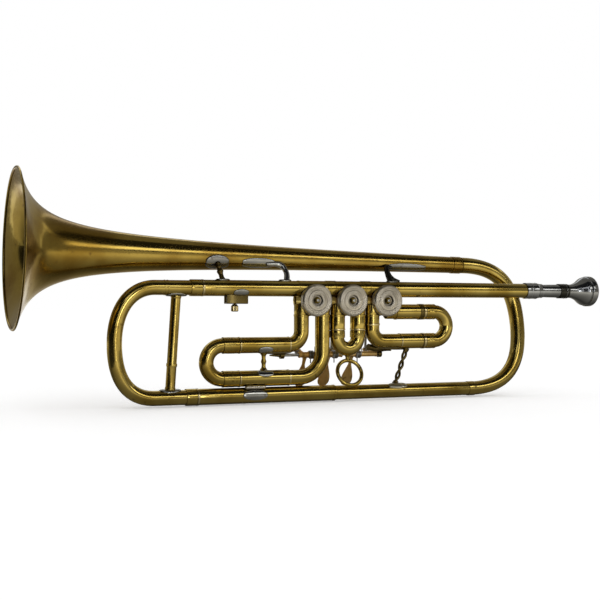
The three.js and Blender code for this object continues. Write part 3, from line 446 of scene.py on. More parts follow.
def swept(path, outer, inner=None, sides=tube_sides, wide=1, closed=False, carried=False):
    """A tube or bar along a path. Its radii may change from point to point, and its Y width is scaled."""
    spots = np.array([p for p, following in zip(path, path[1:]) if (following - p).length > tiny])
    if not closed:
        spots = np.vstack([spots, path[-1]])
    count = len(spots)
    steps = np.roll(spots, -1, 0) - spots
    if not closed:
        steps[-1] = steps[-2]
    steps /= np.linalg.norm(steps, axis=1)[:, None]
    before = np.roll(steps, 1, 0)
    if not closed:
        before[0] = steps[0]
    tangents = [unit(a + b) for a, b in zip(steps, before)]
    side = np.array(X if abs(tangents[0][1]) > 0.9 else Y)
    across, up = circle(sides)
    sections = []
    for tangent in tangents:
        hint = side if carried or abs(tangent[1]) > 0.97 else np.array(Y)
        side = unit(hint - tangent * (tangent @ hint))
        sections.append(across * np.cross(tangent, side) + wide * up * side)
    outer = spread(outer, count)
    rings = [spots[i] + outer[i] * sections[i] for i in range(count)]
    if inner is not None:
        inner = spread(inner, count)
        rings += [spots[i] + inner[i] * sections[i] for i in reversed(range(count))]
    verts = np.vstack(rings)
    numbers = [range(i * sides, (i + 1) * sides) for i in range(len(rings))]
    if inner is None and not closed:
        verts = np.vstack([verts, spots[0], spots[-1]])
        numbers = [[len(verts) - 2] * sides, *numbers, [len(verts) - 1] * sides]
    return verts, bridge(numbers, closed or inner is not None)


def cushion(surface, columns=28, rows=20):
    """A thin closed plate. The surface gives its top and bottom for shares from -1 to 1 both ways."""
    along = np.sin(np.linspace(-pi / 2, pi / 2, columns))
    across = np.sin(np.linspace(-pi / 2, pi / 2, rows))
    verts = []
    for u in along:
        top, bottom = zip(*(surface(u, v) for v in across))
        verts += top + bottom[::-1]
    loops = [range(i * 2 * rows, (i + 1) * 2 * rows) for i in range(columns)]
    faces = bridge(loops)
    for loop in (loops[0], loops[-1]):
        faces += [(loop[j], loop[j + 1], loop[-2 - j], loop[-1 - j]) for j in range(rows - 1)]
    return np.array(verts), faces


def add(name, data):
    """A new object in the scene."""
    made = bpy.data.objects.new(name, data)
    bpy.context.scene.collection.objects.link(made)
    return made


def piece(name, finish, shells, body="trumpet", sharp=32):
    """Joins shells to one object on a body. It stands for the CAD node of its own name, if there is one."""
    verts, faces, count = [], [], 0
    for places, sides in shells:
        verts.append(places)
        faces += [tuple(i + count for i in face) for face in sides]
        count += len(places)
    mesh = bpy.data.meshes.new(name)
    mesh.from_pydata((np.vstack(verts) + origin) / 1000, [], faces)
    mesh.polygons.foreach_set("use_smooth", [True] * len(mesh.polygons))
    mesh.update()
    work = bmesh.new()
    work.from_mesh(mesh)
    bmesh.ops.remove_doubles(work, verts=work.verts, dist=1e-7)
    bmesh.ops.recalc_face_normals(work, faces=work.faces)
    work.to_mesh(mesh)
    work.free()
    mesh.set_sharp_from_angle(angle=radians(sharp))
    slot, material = finish
    mesh.materials.append(material)
    made = add(name, mesh)
    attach(made, body)
    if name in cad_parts:
        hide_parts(name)


# Materials. Scales are for metres, and the three depths are in metres
cloud_scale = 26
spot_scale = 190
streak_scale = 60
cork_scale = 1400
crevice_depth = 0.004
streak_depth = 0.002
grain_depth = 0.0004


def feed(tree, made, inputs):
    """Gives a node its inputs, each a value or the socket that it comes from."""
    for name, value in inputs.items():
        if isinstance(value, bpy.types.NodeSocket):
            tree.links.new(value, made.inputs[name])
        else:
            made.inputs[name].default_value = value


def node(tree, kind, inputs, **settings):
    """A shader node with its inputs and settings."""
    made = tree.nodes.new("ShaderNode" + kind)
    for name, value in settings.items():
        setattr(made, name, value)
    feed(tree, made, inputs)
    return made


def ramp(tree, source, low, high):
    """The source from 0 at low to 1 at high."""
    limits = {"Value": source, "From Min": low, "From Max": high}
    return node(tree, "MapRange", limits, interpolation_type="SMOOTHSTEP").outputs["Result"]


def noise(tree, place, scale, detail):
    return node(tree, "TexNoise", {"Vector": place, "Scale": scale, "Detail": detail}).outputs["Fac"]


def blend(tree, share, *colours):
    """A mix of two colours, each a socket or its red, green and blue."""
    mix = tree.nodes.new("ShaderNodeMix")
    mix.data_type = "RGBA"
    first, second = (c if isinstance(c, bpy.types.NodeSocket) else (*c, 1) for c in colours)
    # In this mode the node's sockets of colour are its inputs 6 and 7 and its output 2
    feed(tree, mix, {0: share, 6: first, 7: second})
    return mix.outputs[2]


def new_material(name):
    """A material with its node tree, its shader and the place on the object."""
    material = bpy.data.materials.new(name)
    material.use_nodes = True
    tree = material.node_tree
    place = tree.nodes.new("ShaderNodeTexCoord").outputs["Object"]
    return material, tree, tree.nodes["Principled BSDF"], place


def metal(slot, name, clean, dull, stain, rough, stains=(0.63, 0.8), waves=0.12, grain=0.04):
    """Worn metal. It dulls in clouds, stains in spots, has painted shade darkening its crevices and is a
    little uneven.
    """
    material, tree, shader, place = new_material(name)
    drawn_out = node(tree, "Mapping", {"Vector": place, "Scale": (0.25, 1, 1)}).outputs["Vector"]
    clouds = noise(tree, place, cloud_scale, 4)
    spots = noise(tree, place, spot_scale, 5)
    streaks = noise(tree, drawn_out, streak_scale, 2)
    colour = blend(tree, ramp(tree, clouds, 0.38, 0.66), clean, dull)
    colour = blend(tree, ramp(tree, spots, *stains), colour, stain)
    # Painted shade: ambient occlusion pulls the colour towards a quarter of the dull colour in crevices and
    # between parts
    occlusion = node(tree, "AmbientOcclusion", {"Distance": crevice_depth}, samples=6, inside=False)
    painted_crevice_shade = [c / 4 for c in dull]
    colour = blend(tree, ramp(tree, occlusion.outputs["AO"], 0.25, 0.85), painted_crevice_shade, colour)
    limits = {"Value": clouds, "From Min": 0.3, "From Max": 0.7, "To Min": rough[0], "To Max": rough[1]}
    worn = node(tree, "MapRange", limits).outputs["Result"]
    bumps = {"Height": streaks, "Strength": waves, "Distance": streak_depth}
    broad = node(tree, "Bump", bumps).outputs[0]
    bumps = {"Height": spots, "Strength": grain, "Distance": grain_depth, "Normal": broad}
    fine = node(tree, "Bump", bumps).outputs[0]
    feed(tree, shader, {"Base Color": colour, "Metallic": 1, "Roughness": worn, "Normal": fine})
    return slot, material


def pressed_cork():
    material, tree, shader, place = new_material("cork")
    cells = node(tree, "TexVoronoi", {"Vector": place, "Scale": cork_scale}).outputs["Distance"]
    colour = blend(tree, ramp(tree, cells, 0.1, 0.7), (0.05, 0.035, 0.022), (0.14, 0.09, 0.05))
    bump = node(tree, "Bump", {"Height": cells, "Strength": 0.3, "Distance": 0.0003}).outputs[0]
    feed(tree, shader, {"Base Color": colour, "Roughness": 0.9, "Normal": bump})
    return "bumper_cork", material


# Each metal has its slot, its name, its colours where clean, dull and stained, and its range of roughness
brass = metal("brass", "brass", (0.62, 0.47, 0.13), (0.4, 0.27, 0.05), (0.18, 0.11, 0.025), (0.1, 0.2))
dark_brass = metal(
    "brass", "dark_brass", (0.2, 0.15, 0.05), (0.12, 0.085, 0.028), (0.06, 0.04, 0.015),
    (0.2, 0.36), grain=0.1,
)
bright_brass = metal(
    "brass", "bright_brass", (0.82, 0.68, 0.36), (0.64, 0.5, 0.22), (0.4, 0.29, 0.1), (0.12, 0.24),
)
bell_brass = metal(
    "bell_brass", "bell_brass", (0.5, 0.36, 0.085), (0.33, 0.205, 0.035), (0.17, 0.1, 0.025),
    (0.13, 0.25), waves=0.2,
)
lever_brass = metal(
    "lever_brass", "lever_brass", (1, 0.72, 0.32), (0.95, 0.6, 0.2), (0.55, 0.32, 0.1),
    (0.5, 0.65), (0.56, 0.72),
)
nickel = metal(
    "nickel_silver", "nickel_silver", (0.72, 0.67, 0.58), (0.5, 0.46, 0.39), (0.26, 0.22, 0.17),
    (0.22, 0.36), (0.62, 0.8), grain=0.08,
)
bright_nickel = metal(
    "nickel_silver", "bright_nickel", (0.72, 0.7, 0.58), (0.55, 0.53, 0.43), (0.36, 0.33, 0.25),
    (0.2, 0.34), grain=0.1,
)
aged_nickel = metal(
    "nickel_silver", "aged_nickel", (0.52, 0.53, 0.52), (0.3, 0.3, 0.29), (0.14, 0.12, 0.09),
    (0.12, 0.24), (0.6, 0.76), grain=0.1,
)
# Near-black nickel is painted shade, used on the right strap that faces down from the light and on the
# mouthpiece's collars
painted_shade_nickel = metal(
    "nickel_silver", "painted_shade_nickel", (0.1, 0.1, 0.09), (0.05, 0.048, 0.04), (0.12, 0.1, 0.06),
    (0.18, 0.34), (0.62, 0.78), grain=0.1,
)
silver = metal(
    "silver_plate", "silver_plate", (0.5, 0.52, 0.54), (0.32, 0.33, 0.34), (0.2, 0.19, 0.18),
    (0.07, 0.16), (0.66, 0.8),
)
steel = metal(
    "steel", "steel", (0.45, 0.45, 0.45), (0.3, 0.29, 0.28), (0.16, 0.13, 0.1), (0.25, 0.42), grain=0.1,
)
cork = pressed_cork()


# Shapes that several pieces share
def straight(start, end, outer, inner, sides=tube_sides):
    """A straight tube with softened edges."""
    length = (end - start).length
    profile = [(0, inner), (0, outer), (length, outer), (length, inner)]
    return turned(start, end - start, eased(profile, 0.15), sides)


def rod(start, end, radius, end_radius=None, size=0.3, sides=small_sides):
    """A solid rod with rounded ends, which may taper."""
    length = (end - start).length
    profile = [(0, 0), (0, radius), (length, end_radius or radius), (length, 0)]
    return turned(start, end - start, eased(profile, size), sides)


def post(start, end, shape, size, steps=3):
    """A turned post. Its shape is pairs of a share of its length and the radius there."""
    length = (end - start).length
    profile = [(length * share, radius) for share, radius in shape]
    return turned(start, end - start, eased(profile, size, steps), small_sides)


def sleeve(start, end):
    return straight(start, end, sleeve_radius, sleeve_bore)


def bar(path, radii, wide=1):
    """A solid bar along a path."""
    return swept(path, radii, sides=small_sides, wide=wide)


def band(centre, direction, radius, width, inner):
    """A narrow ring round a tube."""
    half = Vector(direction).normalized() * width / 2
    return straight(centre - half, centre + half, radius, inner)


def end_ring(end, inward, width):
    """The bright ring just inside a sleeve's open end."""
    return band(end + inward * (width / 2 + sunk), inward, end_ring_radius, width, end_ring_bore)


def solder(centre, direction, radius):
    """A bead of solder round a joint of tubes."""
    return band(centre, direction, radius + solder_rise, solder_width, radius - solder_sunk)


def beaded(start, end, radius, inner, count, depth=0.14, steps=8):
    """A tube with a row of beads turned into its outside."""
    length = (end - start).length
    total = count * steps
    waves = [0.5 + 0.5 * cos(2 * pi * i / steps) for i in range(total + 1)]
    outer = [(length * i / total, radius - depth * wave) for i, wave in enumerate(waves)]
    return turned(start, end - start, [(0, inner), *outer, (length, inner)])


def saddle(place_at, along, start, end, direction, degrees, radius_at, ends=plate_ends, wall=plate_wall):
    """A domed plate with rounded ends that hugs a round tube, centred on the direction given."""
    across = direction.cross(along)

    def surface(u, v):
        distance = (start + end + u * (end - start)) / 2
        turn = v * radians(degrees) / 2 * sqrt(1 - (1 - ends**2) * u * u)
        out = direction * cos(turn) + across * sin(turn)
        rise = wall * (max(1 - u**6, 0) * max(1 - v**6, 0)) ** 0.4
        middle = place_at(distance)
        return middle + out * (radius_at(distance) + seam + rise), middle + out * (radius_at(distance) - sunk)

    return cushion(surface)


def level_saddle(place_at, start, end, direction, degrees, radius, ends=plate_ends, wall=plate_wall):
    """A saddle on a level tube of one radius."""
    return saddle(place_at, X, start, end, direction, degrees, lambda _: radius, ends, wall)


def level(height):
    """The place at an X on the axis of the level tube at the height given."""
    return lambda x: at(x, 0, height)


upper_at, lower_at = level(0), level(-main_drop)
axle_at = lambda x: at(x, axle_depth, axle_height)
bell_lean = (port_radius + rear_bow_end_radius + seam) * (main_drop + bell_tail_height) / main_drop
bell_tail_x = rear_bow_start - 2 * seam
bell_slope = (bell_tail_height - bell_mouth_height) / (bell_tail_x - bell_mouth_x)
bell_along = Vector((1, 0, bell_slope)).normalized()
bell_down = Vector((0, -sin(bracket_angle), cos(bracket_angle)))
bell_down = (bell_down - bell_along * bell_down.dot(bell_along)).normalized()


def bell_at(x):
    return at(x, bell_lean, bell_tail_height + bell_slope * (x - bell_tail_x))


def bell_radius(x):
    s = x - bell_mouth_x
    flare = (bell_mouth_radius - bell_throat_radius) * bell_flare_length / (s + bell_flare_length)
    return flare + bell_throat_radius - bell_taper * s


def on_bell(x, stand_off):
    return bell_at(x) + bell_down * (bell_radius(x) + stand_off)


def make_bell():
    length = bell_tail_x - bell_mouth_x
    places = [length * (i / bell_steps) ** 2 for i in range(bell_steps + 1)]
    outside = [(s, bell_radius(bell_mouth_x + s)) for s in places]
    inside = []
    for i, (s, radius) in enumerate(outside):
        before, after = outside[max(i - 1, 0)], outside[min(i + 1, bell_steps)]
        span = hypot(after[0] - before[0], after[1] - before[1])
        shift = bell_wall * (before[1] - after[1]) / span if i < bell_steps else 0
        inside.append((s - shift, radius - bell_wall * (after[0] - before[0]) / span))
    rim = []
    for i in range(1, rim_steps):
        angle = -pi * (0.4 + 1.1 * i / rim_steps)
        height = bell_mouth_radius - rim_radius + rim_radius * sin(angle)
        rim.append((rim_radius * cos(angle) - 0.2, height))
    shells = [turned(bell_at(bell_mouth_x), bell_along, outside + inside[::-1] + rim, bell_sides)]
    tail_radius = bell_radius(bell_tail_x)
    tail = bell_at(bell_tail_x - bell_tail_band_inset)
    shells.append(band(tail, bell_along, tail_radius + 0.5, bell_tail_band_width, tail_radius - 0.2))
    piece("bell", bell_brass, shells, sharp=50)


def make_rear_bow():
    start, end = at(rear_bow_start, 0, -main_drop), at(rear_bow_start, bell_lean, bell_tail_height)
    path = bow(start, end, X, rear_bow_reach, rear_bow_shares, rear_bow_steps)
    half = (leg_radius + rear_bow_end_radius) / 2
    inner = [bore_radius, half - rear_bow_wall, rear_bow_end_radius - rear_bow_wall]
    shells = [swept(path, [leg_radius, half, rear_bow_end_radius], inner)]
    shells.append(band(start, X, leg_radius + 0.35, rear_bow_band_width, leg_radius - 0.2))
    piece("rear_bow", brass, shells)
    start, end = lower_at(lower_sleeve_start - lower_tube_overlap), lower_at(rear_bow_start - seam)
    piece("lower_tube", brass, [straight(start, end, leg_radius, bore_radius)])


def make_main_slide():
    upper_start, upper_end = upper_at(-valve_pitch - stub_reach - seam), upper_at(upper_sleeve_end)
    lower_start, lower_end = lower_at(lower_sleeve_start), lower_at(lower_sleeve_end)
    piece("upper_sleeve", brass, [sleeve(upper_start, upper_end)])
    collar = band(lower_start - X * 0.8, X, ferrule_radius, 2, leg_radius - sunk)
    piece("lower_sleeve", brass, [sleeve(lower_start, lower_end), collar])
    piece("main_sleeve_rings", bright_brass, [end_ring(end, X, 1.6) for end in (upper_end, lower_end)])

    turns = [upper_at(main_bow_start), lower_at(main_bow_start)]
    tips = [place(upper_sleeve_end + upper_leg_inside) for place in (upper_at, lower_at)]
    bend = bow(*turns, -X, main_bow_reach, main_bow_shares, main_bow_steps)
    shells = [swept([tips[0], *bend, tips[1]], leg_radius, bore_radius)]
    for start, end in ((upper_at(upper_ferrule_end), upper_end), (lower_at(lower_ferrule_end), lower_end)):
        shells.append(straight(start, end - X * seam, ferrule_radius, leg_radius - sunk))
    for x in main_bow_rings:
        shells.append(band(upper_at(x), X, leg_radius + 0.25, 0.8, leg_radius - sunk))
    piece("main_slide_bow", brass, shells, "main_slide")

    top = at(brace_top, 0, -leg_radius - seam)
    foot = at(brace_foot, 0, -main_drop + leg_radius + seam)
    span = (foot - top).length
    collar_start = span * brace_collar_share
    collar_end, collar_radius = collar_start + brace_collar_length, brace_radius + 0.45
    neck = [(0, 0), (0, brace_radius + 0.4), (1.6, brace_radius + 0.3), (2.2, brace_radius)]
    profile = neck + [(collar_start, brace_radius), (collar_start, collar_radius)]
    profile += [(collar_end, collar_radius), (collar_end, brace_radius)]
    profile += [(span - along, radius) for along, radius in reversed(neck)]
    piece("main_slide_brace", brass, [turned(top, foot - top, eased(profile))], "main_slide")
    half = flange_length / 2
    plates = []
    for place, x, way in ((upper_at, brace_top, -Z), (lower_at, brace_foot, Z)):
        plates.append(level_saddle(place, x - half, x + half, way, flange_angle, leg_radius))
    piece("main_slide_saddles", aged_nickel, plates, "main_slide")


def make_leadpipe():
    start, end = valve_pitch + stub_reach + seam, receiver_end - receiver_length - seam
    length = end - start
    profile = [(0, bore_radius), (0, port_radius), (length, leadpipe_end_radius), (length, bore_radius)]
    piece("leadpipe", brass, [turned(upper_at(start), X, eased(profile))])
    body = receiver_length - receiver_taper
    profile = [(0, bore_radius), (0, receiver_radius), (0.9, receiver_radius + 0.2), (1.8, receiver_radius)]
    profile += [(body - 1.6, receiver_radius), (body - 0.8, receiver_radius + 0.25), (body, receiver_radius)]
    profile += [(body + 1, receiver_radius - 0.35), (receiver_length - 1.5, receiver_tip_radius)]
    profile += [(receiver_length, receiver_tip_radius + 0.15), (receiver_length, 6), (body, 5.8)]
    piece("receiver", silver, [turned(upper_at(end + seam), X, eased(profile, 0.4))])
    middle = upper_at(end - receiver_collar_inset)
    collar = band(middle, X, receiver_radius, receiver_collar_width, leadpipe_end_radius - 0.3)
    piece("receiver_collar", silver, [collar])


def make_mouthpiece():
    profile = [(-30.4, 4.85), (-5.8, 5.3), (4.6, 5.9), (20.8, 6.15), (25.2, 6.4), (25.4, 6.9), (25.8, 6.9)]
    profile += [(26, 6.4), (28.4, 6.3), (29, 6.2), (33.1, 6.35), (35.4, 6.9), (38, 7.9), (40.6, 9.2)]
    profile += [(43, 10.9), (45, 12.3), (46.6, 13.1), (48.1, 13.3), (48.6, 12.7), (49.2, 12.7), (49.6, 13.7)]
    profile += [(50.2, 14.1), (54.4, 14.1), (55.8, 13.3), (56.3, 11.9), (55.7, 10.2), (54.6, 8.9), (52, 8.3)]
    profile += [(48, 7.6), (45.6, 6.2), (44.2, 3.6), (43.4, 2.2), (42, 1.9), (35.6, 1.9), (-30.4, 4.2)]
    shell = turned(upper_at(receiver_end), X, eased(profile, 0.7), turned_sides)
    piece("mouthpiece", silver, [shell], "mouthpiece", sharp=60)
    shells = []
    for start, end in mouthpiece_collars:
        ends = upper_at(receiver_end + start), upper_at(receiver_end + end)
        shells.append(straight(*ends, mouthpiece_collar_radius, 6, turned_sides))
    # The collars' near-black finish is painted shade, not the colour of the silver
    piece("mouthpiece_collar", painted_shade_nickel, shells, "mouthpiece")


def make_collars():
    """The beads of solder that close the casings' ports to their neighbours."""
    foot, side = stub_end - seam / 2, stub_reach + seam / 2
    legs = (-valve_pitch - port_offset, port_offset - valve_pitch, valve_pitch - port_offset)
    shells = [solder(at(x, 0, foot), Z, fixed_radius) for x in legs]
    shells += [solder(at(x, 0, foot), Z, sleeve_radius) for x in (-port_offset, port_offset)]
    shells.append(solder(at(valve_pitch + side, 0, slide1_upper), X, sleeve_radius))
    for x in (-side, side, valve_pitch - side, side - valve_pitch, valve_pitch + side):
        shells.append(solder(upper_at(x), X, port_radius))
    shells.append(solder(upper_at(-valve_pitch - side), X, sleeve_radius))
    piece("port_collars", brass, shells)


def make_cap(name, x):
    axis = at(x, 0, valve_height)
    face = -cap_face
    profile = [(face + 0.4, cap_hole), (face, cap_hole + 0.5), (face, 5), (face - 0.3, 5.5)]
    profile += [(face - 0.3, 6.3), (face, 6.9), (face, 8), (face + 0.45, cap_groove_radius), (face, 9.2)]
    for radius in cap_ring_radii:
        profile += [(face, radius - 0.5), (face + 0.3, radius), (face, radius + 0.5)]
    profile += [(face, cap_radius - 1.1), (face + 1, cap_radius), (-cap_skirt_end, cap_radius)]
    profile += [(-cap_skirt_end, cap_skirt), (face + 2.9, cap_skirt), (face + 2.9, cap_inner_hole)]
    profile += [(face + 2.4, cap_inner_hole), (face + 2.4, cap_hole)]
    shell = turned(axis, Y, eased(profile, 0.2), cap_sides, cap_knurls, 0.3)
    piece("screw_cap_" + name, nickel, [shell])
    pin = pin_radius + 0.05
    profile = [(face - 1, 0), (face - 0.93, 0.7), (face - 0.65, 1.35), (face - 0.2, pin)]
    profile += [(face + 3, pin), (face + 3, 0)]
    piece("spindle_pin_" + name, silver, [turned(axis, Y, eased(profile), small_sides)], "valve_" + name)


def make_casing(name, x):
    rim = casing_rear - casing_rim_length
    nose = casing_rear + nose_length
    profile = [(-casing_front, casing_bore), (-casing_front, casing_radius), (rim, casing_radius)]
    profile += [(rim, casing_rim_radius), (casing_rear, casing_rim_radius), (casing_rear, nose_radius)]
    profile += [(nose, nose_radius), (nose, stem_radius + 0.3)]
    profile += [(casing_inside, stem_radius + 0.3), (casing_inside, casing_bore)]
    shells = [turned(at(x, 0, valve_height), Y, eased(profile, 0.35), turned_sides)]
    shells.append(straight(upper_at(x - stub_reach), upper_at(x + stub_reach), port_radius, bore_radius))
    for side in (-1, 1):
        start, way = at(x + side * port_offset, 0, stub_end), Z
        if name == "1" and side == 1:
            start, way = at(x + stub_reach, 0, valve_height - port_offset), -X
        shells.append(straight(start, start + way * (stub_reach - stub_start), fixed_radius, bore_radius))
    piece("casing_" + name, brass, shells)


def make_stop_work(name, x):
    """The stop arm with its pin, its screw, and the cork bumper that it comes to rest on."""
    axis = at(x, 0, valve_height)
    middle = at(x, stop_plane, valve_height)
    pin = middle + at(-crank_side, 0, crank_side)
    pin_end = at(pin.x, eye_front + link_pin_length, pin.z)
    depth = Y * arm_thickness
    shells = [rod(middle, middle + depth, arm_hub_radius, sides=tube_sides)]
    shells.append(rod(pin, pin + depth, arm_lobe_radius, sides=tube_sides))
    shells.append(bar([middle + depth / 2, pin + depth / 2], arm_bar_radius, 0.5))
    shells.append(rod(pin, pin_end, link_pin_radius))
    shells.append(rod(pin_end - Y * 0.8, pin_end, link_pin_head))
    lug_start, lug_end = casing_rear + seam, stop_plane + arm_thickness

    def lug(u, v):
        way = round_valve(lug_turn + u * lug_half_turn)
        y = (lug_start + lug_end + v * (lug_end - lug_start)) / 2
        return axis + way * lug_outer + Y * y, axis + way * lug_inner + Y * y

    shells.append(cushion(lug, 12, 8))
    for turn in (lug_turn - lug_rib_turn, lug_turn + lug_rib_turn):
        way = round_valve(turn)
        shells.append(rod(*(middle + depth / 2 + way * reach for reach in lug_rib), lug_rib_radius))
    piece("stop_arm_" + name, steel, shells, "valve_" + name)
    screw = rod(middle + depth * 0.9, middle + depth * 1.35, stop_screw_radius, sides=tube_sides)
    piece("stop_screw_" + name, steel, [screw], "valve_" + name)

    def pad(u, v):
        way = round_valve(radians(180 + u * bumper_half_turn))
        radius = (bumper_inner + bumper_outer + v * (bumper_outer - bumper_inner)) / 2
        rear = casing_rear + seam + bumper_depth - 0.35 * max(abs(v), abs(u)) ** 8
        return axis + way * radius + Y * rear, axis + way * radius + Y * (casing_rear + 0.05)

    piece("bumper_" + name, cork, [cushion(pad, 48, 10)])


def make_link(name, x):
    pin_x = x - crank_side
    upper = at(pin_x, eye_front + eye_width / 2, valve_height + crank_side)
    lower = at(pin_x, axle_depth + eye_depth, axle_height + lever_rise)
    inner = (link_pin_radius + eye_gap, cross_pin_radius + eye_gap)
    shells = [band(upper, Y, inner[0] + eye_wall, eye_width, inner[0])]
    shells.append(band(lower, X, inner[1] + eye_wall, eye_width, inner[1]))
    start, end = upper - Z * (inner[0] + 0.3), lower + Z * (inner[1] + 0.3)
    middle = (start.z + end.z) / 2
    path = cubic(start, at(pin_x, start.y, middle), at(pin_x, end.y, middle), end, link_steps)
    shells.append(bar(path, link_radius))
    for share in link_nuts:
        step = int(link_steps * share)
        spot, onward = path[step], path[step + 1]
        shells.append(band(spot, onward - spot, link_radius + 0.5, 2.4, 0.6))
    piece("link_" + name, steel, shells, "link_" + name)


def make_valves():
    for name, x in valves.items():
        make_casing(name, x)
        make_cap(name, x)
        make_stop_work(name, x)
        make_link(name, x)
        for kept in ("rotor_" + name, "bearing_plate_" + name):
            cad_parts[kept].data.materials.clear()
            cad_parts[kept].data.materials.append(brass[1])
    for name, side in (("1", 1), ("2", -1)):
        start, end = side * (stub_reach + seam), side * (valve_pitch - stub_reach - seam)
        shells = [straight(upper_at(start), upper_at(end), port_radius, bore_radius)]
        middle = upper_at((start + end) / 2)
        shells.append(band(middle, X, port_radius + 0.3, knuckle_band_width, port_radius - sunk))
        piece("knuckle_" + name, brass, shells)


def leaf_width(share):
    """Half the width of a paddle, from its root at 0 to its tip at 1."""
    if share < paddle_shoulder:
        return paddle_half_width * (0.26 + 0.74 * sin(pi / 2 * share / paddle_shoulder) ** 1.3)
    onward = (share - paddle_shoulder) / (1 - paddle_shoulder)
    return paddle_half_width * sqrt(max(1 - onward**2.4, 0.004))


def make_lever(name, x, paddle_x):
    """A lever on its hub, with its crank for the link, and the spring that lifts it."""
    body = "lever_" + name
    pin_x = x - crank_side
    arm_x = pin_x + eye_width / 2 + eye_gap + cross_pin_radius
    spring_x = paddle_x + spring_offset
    start = min(pin_x, paddle_x) - hub_past_end
    end = max(arm_x + cross_pin_radius, spring_x + spring_length) + 0.8
    shells = [straight(axle_at(start), axle_at(end), hub_radius, hub_bore, small_sides)]
    for along in (start + 0.7, end - 0.5, paddle_x - hub_bead_place, paddle_x + hub_bead_place):
        shells.append(band(axle_at(along), X, hub_radius + 0.28, 0.8, hub_radius - 0.2))
    pin_y, pin_z = axle_depth + lever_reach * cos(lever_swing), axle_height + lever_rise
    on_pin = lambda along: at(along, pin_y, pin_z)
    arm_way = (on_pin(arm_x) - axle_at(arm_x)).normalized()
    shells.append(rod(axle_at(arm_x) + arm_way * 1.7, on_pin(arm_x), cross_pin_radius))
    pin_end = pin_x - (crank - crank_side) - eye_width / 2 - eye_gap
    shells.append(rod(on_pin(arm_x + cross_pin_radius), on_pin(pin_end), cross_pin_radius))
    down = at(0, sin(paddle_lean), -cos(paddle_lean))
    out = down.cross(X)
    root = axle_at(paddle_x) + down * 1.8
    stalk = through([root, root + down * 4, axle_at(paddle_x) + down * (paddle_start + 5)], 8)
    shells.append(bar(stalk, stalk_radii))

    def leaf(u, v):
        share = (u + 1) / 2
        distance = paddle_start + share * (paddle_tip - paddle_start)
        place = axle_at(paddle_x) + down * distance + X * v * leaf_width(share)
        dish = paddle_dish * (v * v - 0.5)
        half = paddle_thickness / 2 * (0.25 + 0.75 * (max(1 - u**10, 0) * max(1 - v**10, 0)) ** 0.5)
        return place + out * (dish + half), place + out * (dish - half)

    shells.append(cushion(leaf, 36, 20))
    piece(body, lever_brass, shells, body)
    coil_radius = hub_radius + 0.3 + spring_wire
    run = spring_length - 2 * spring_wire
    total = spring_turns * coil_steps
    coil = []
    for i in range(total + 1):
        angle = 2 * pi * i / coil_steps
        across = at(0, -cos(angle), sin(angle))
        coil.append(axle_at(spring_x + spring_wire + run * i / total) + across * coil_radius)
    path = [coil[0] - Z * spring_leg, coil[0] - Z * 0.5, *coil, coil[-1] + Z * 0.5, coil[-1] + Z * spring_leg]
    piece("spring_" + name, steel, [swept(path, spring_wire, sides=12, carried=True)])


def make_levers():
    piece("lever_axle", steel, [rod(axle_at(axle_start), axle_at(axle_end), axle_radius, size=0.4)])
    for (name, x), order in zip(valves.items(), (2, 1, 0)):
        make_lever(name, x, last_paddle_x + lever_pitch * order)
    lean = (sleeve_radius + seam + 2.3) * sqrt(0.5)
    out = at(0, lean, -lean).normalized()
    for side, eye_x, foot_x, height, plate in (
        ("left", axle_start + left_eye_inset, axle_start - 4, slide3_upper, left_foot),
        ("right", axle_end - right_eye_inset, axle_end + 6, slide1_lower, right_foot),
    ):
        eye = axle_at(eye_x)
        foot = at(foot_x, lean, height - lean)
        turn, half = at(eye.x, eye.y, foot.z), X * axle_eye_half_width
        shells = [straight(eye - half, eye + half, axle_eye_radius, axle_eye_bore, small_sides)]
        begin = eye + (turn - eye).normalized() * 2
        path = cubic(begin, eye.lerp(turn, 0.7), foot.lerp(turn, 0.35), foot, 20)
        shells.append(bar(path, bracket_radii))
        shells.append(level_saddle(level(height), *plate, out, foot_angle, sleeve_radius, 0.15, 1.2))
        if side == "right":
            shells.append(bar(through([Vector(p) for p in horn_points], 8), horn_radii))
        else:
            shells.append(rod(eye, eye - X * axle_point_length, 1.9, 0.6))
        piece("axle_bracket_" + side, dark_brass, shells)


def make_leg(name, port_x, along, turn, way, sleeve_start, sleeve_end):
    """A fixed leg from a lower port round its elbow, with its sleeve. Its ring is returned."""
    elbow = corner(along(port_x) + Z * turn, along(port_x), along(port_x + way * turn), steps=elbow_steps)
    path = [at(port_x, 0, stub_end - seam), *elbow, along(sleeve_start)]
    shells = [swept(path, fixed_radius, bore_radius), sleeve(along(sleeve_start), along(sleeve_end))]
    piece(name, brass, shells)
    return band(along(sleeve_start + way * 0.5), X, ferrule_radius, 1.2, bore_radius + 0.2)


def make_bow(name, legs, way, sleeve_end, inside, turn_at, beads=(0.25, 0.75), extra=()):
    """A slide's bow, which leaves its sleeves that way, with its inner legs and their beaded ferrules."""
    sign = sum(way)
    tips, turns = ([along(place) for along in legs] for place in (sleeve_end - sign * inside, turn_at))
    path = [tips[0], *bow(*turns, way, (turns[0] - turns[1]).length / 2, steps=elbow_steps), tips[1]]
    shells = [swept(path, leg_radius, bore_radius), *extra]
    inner = leg_radius - sunk
    for along in legs:
        start, end = along(sleeve_end + sign * seam), along(turn_at)
        near, far = (start.lerp(end, share) for share in beads)
        shells.append(straight(start, end, ferrule_radius - 0.12, inner))
        shells.append(beaded(near, far, ferrule_radius, inner, 5))
        shells.append(band(end - way * 0.5, way, ferrule_radius, 1, inner))
    piece(name + "_bow", brass, shells, name)


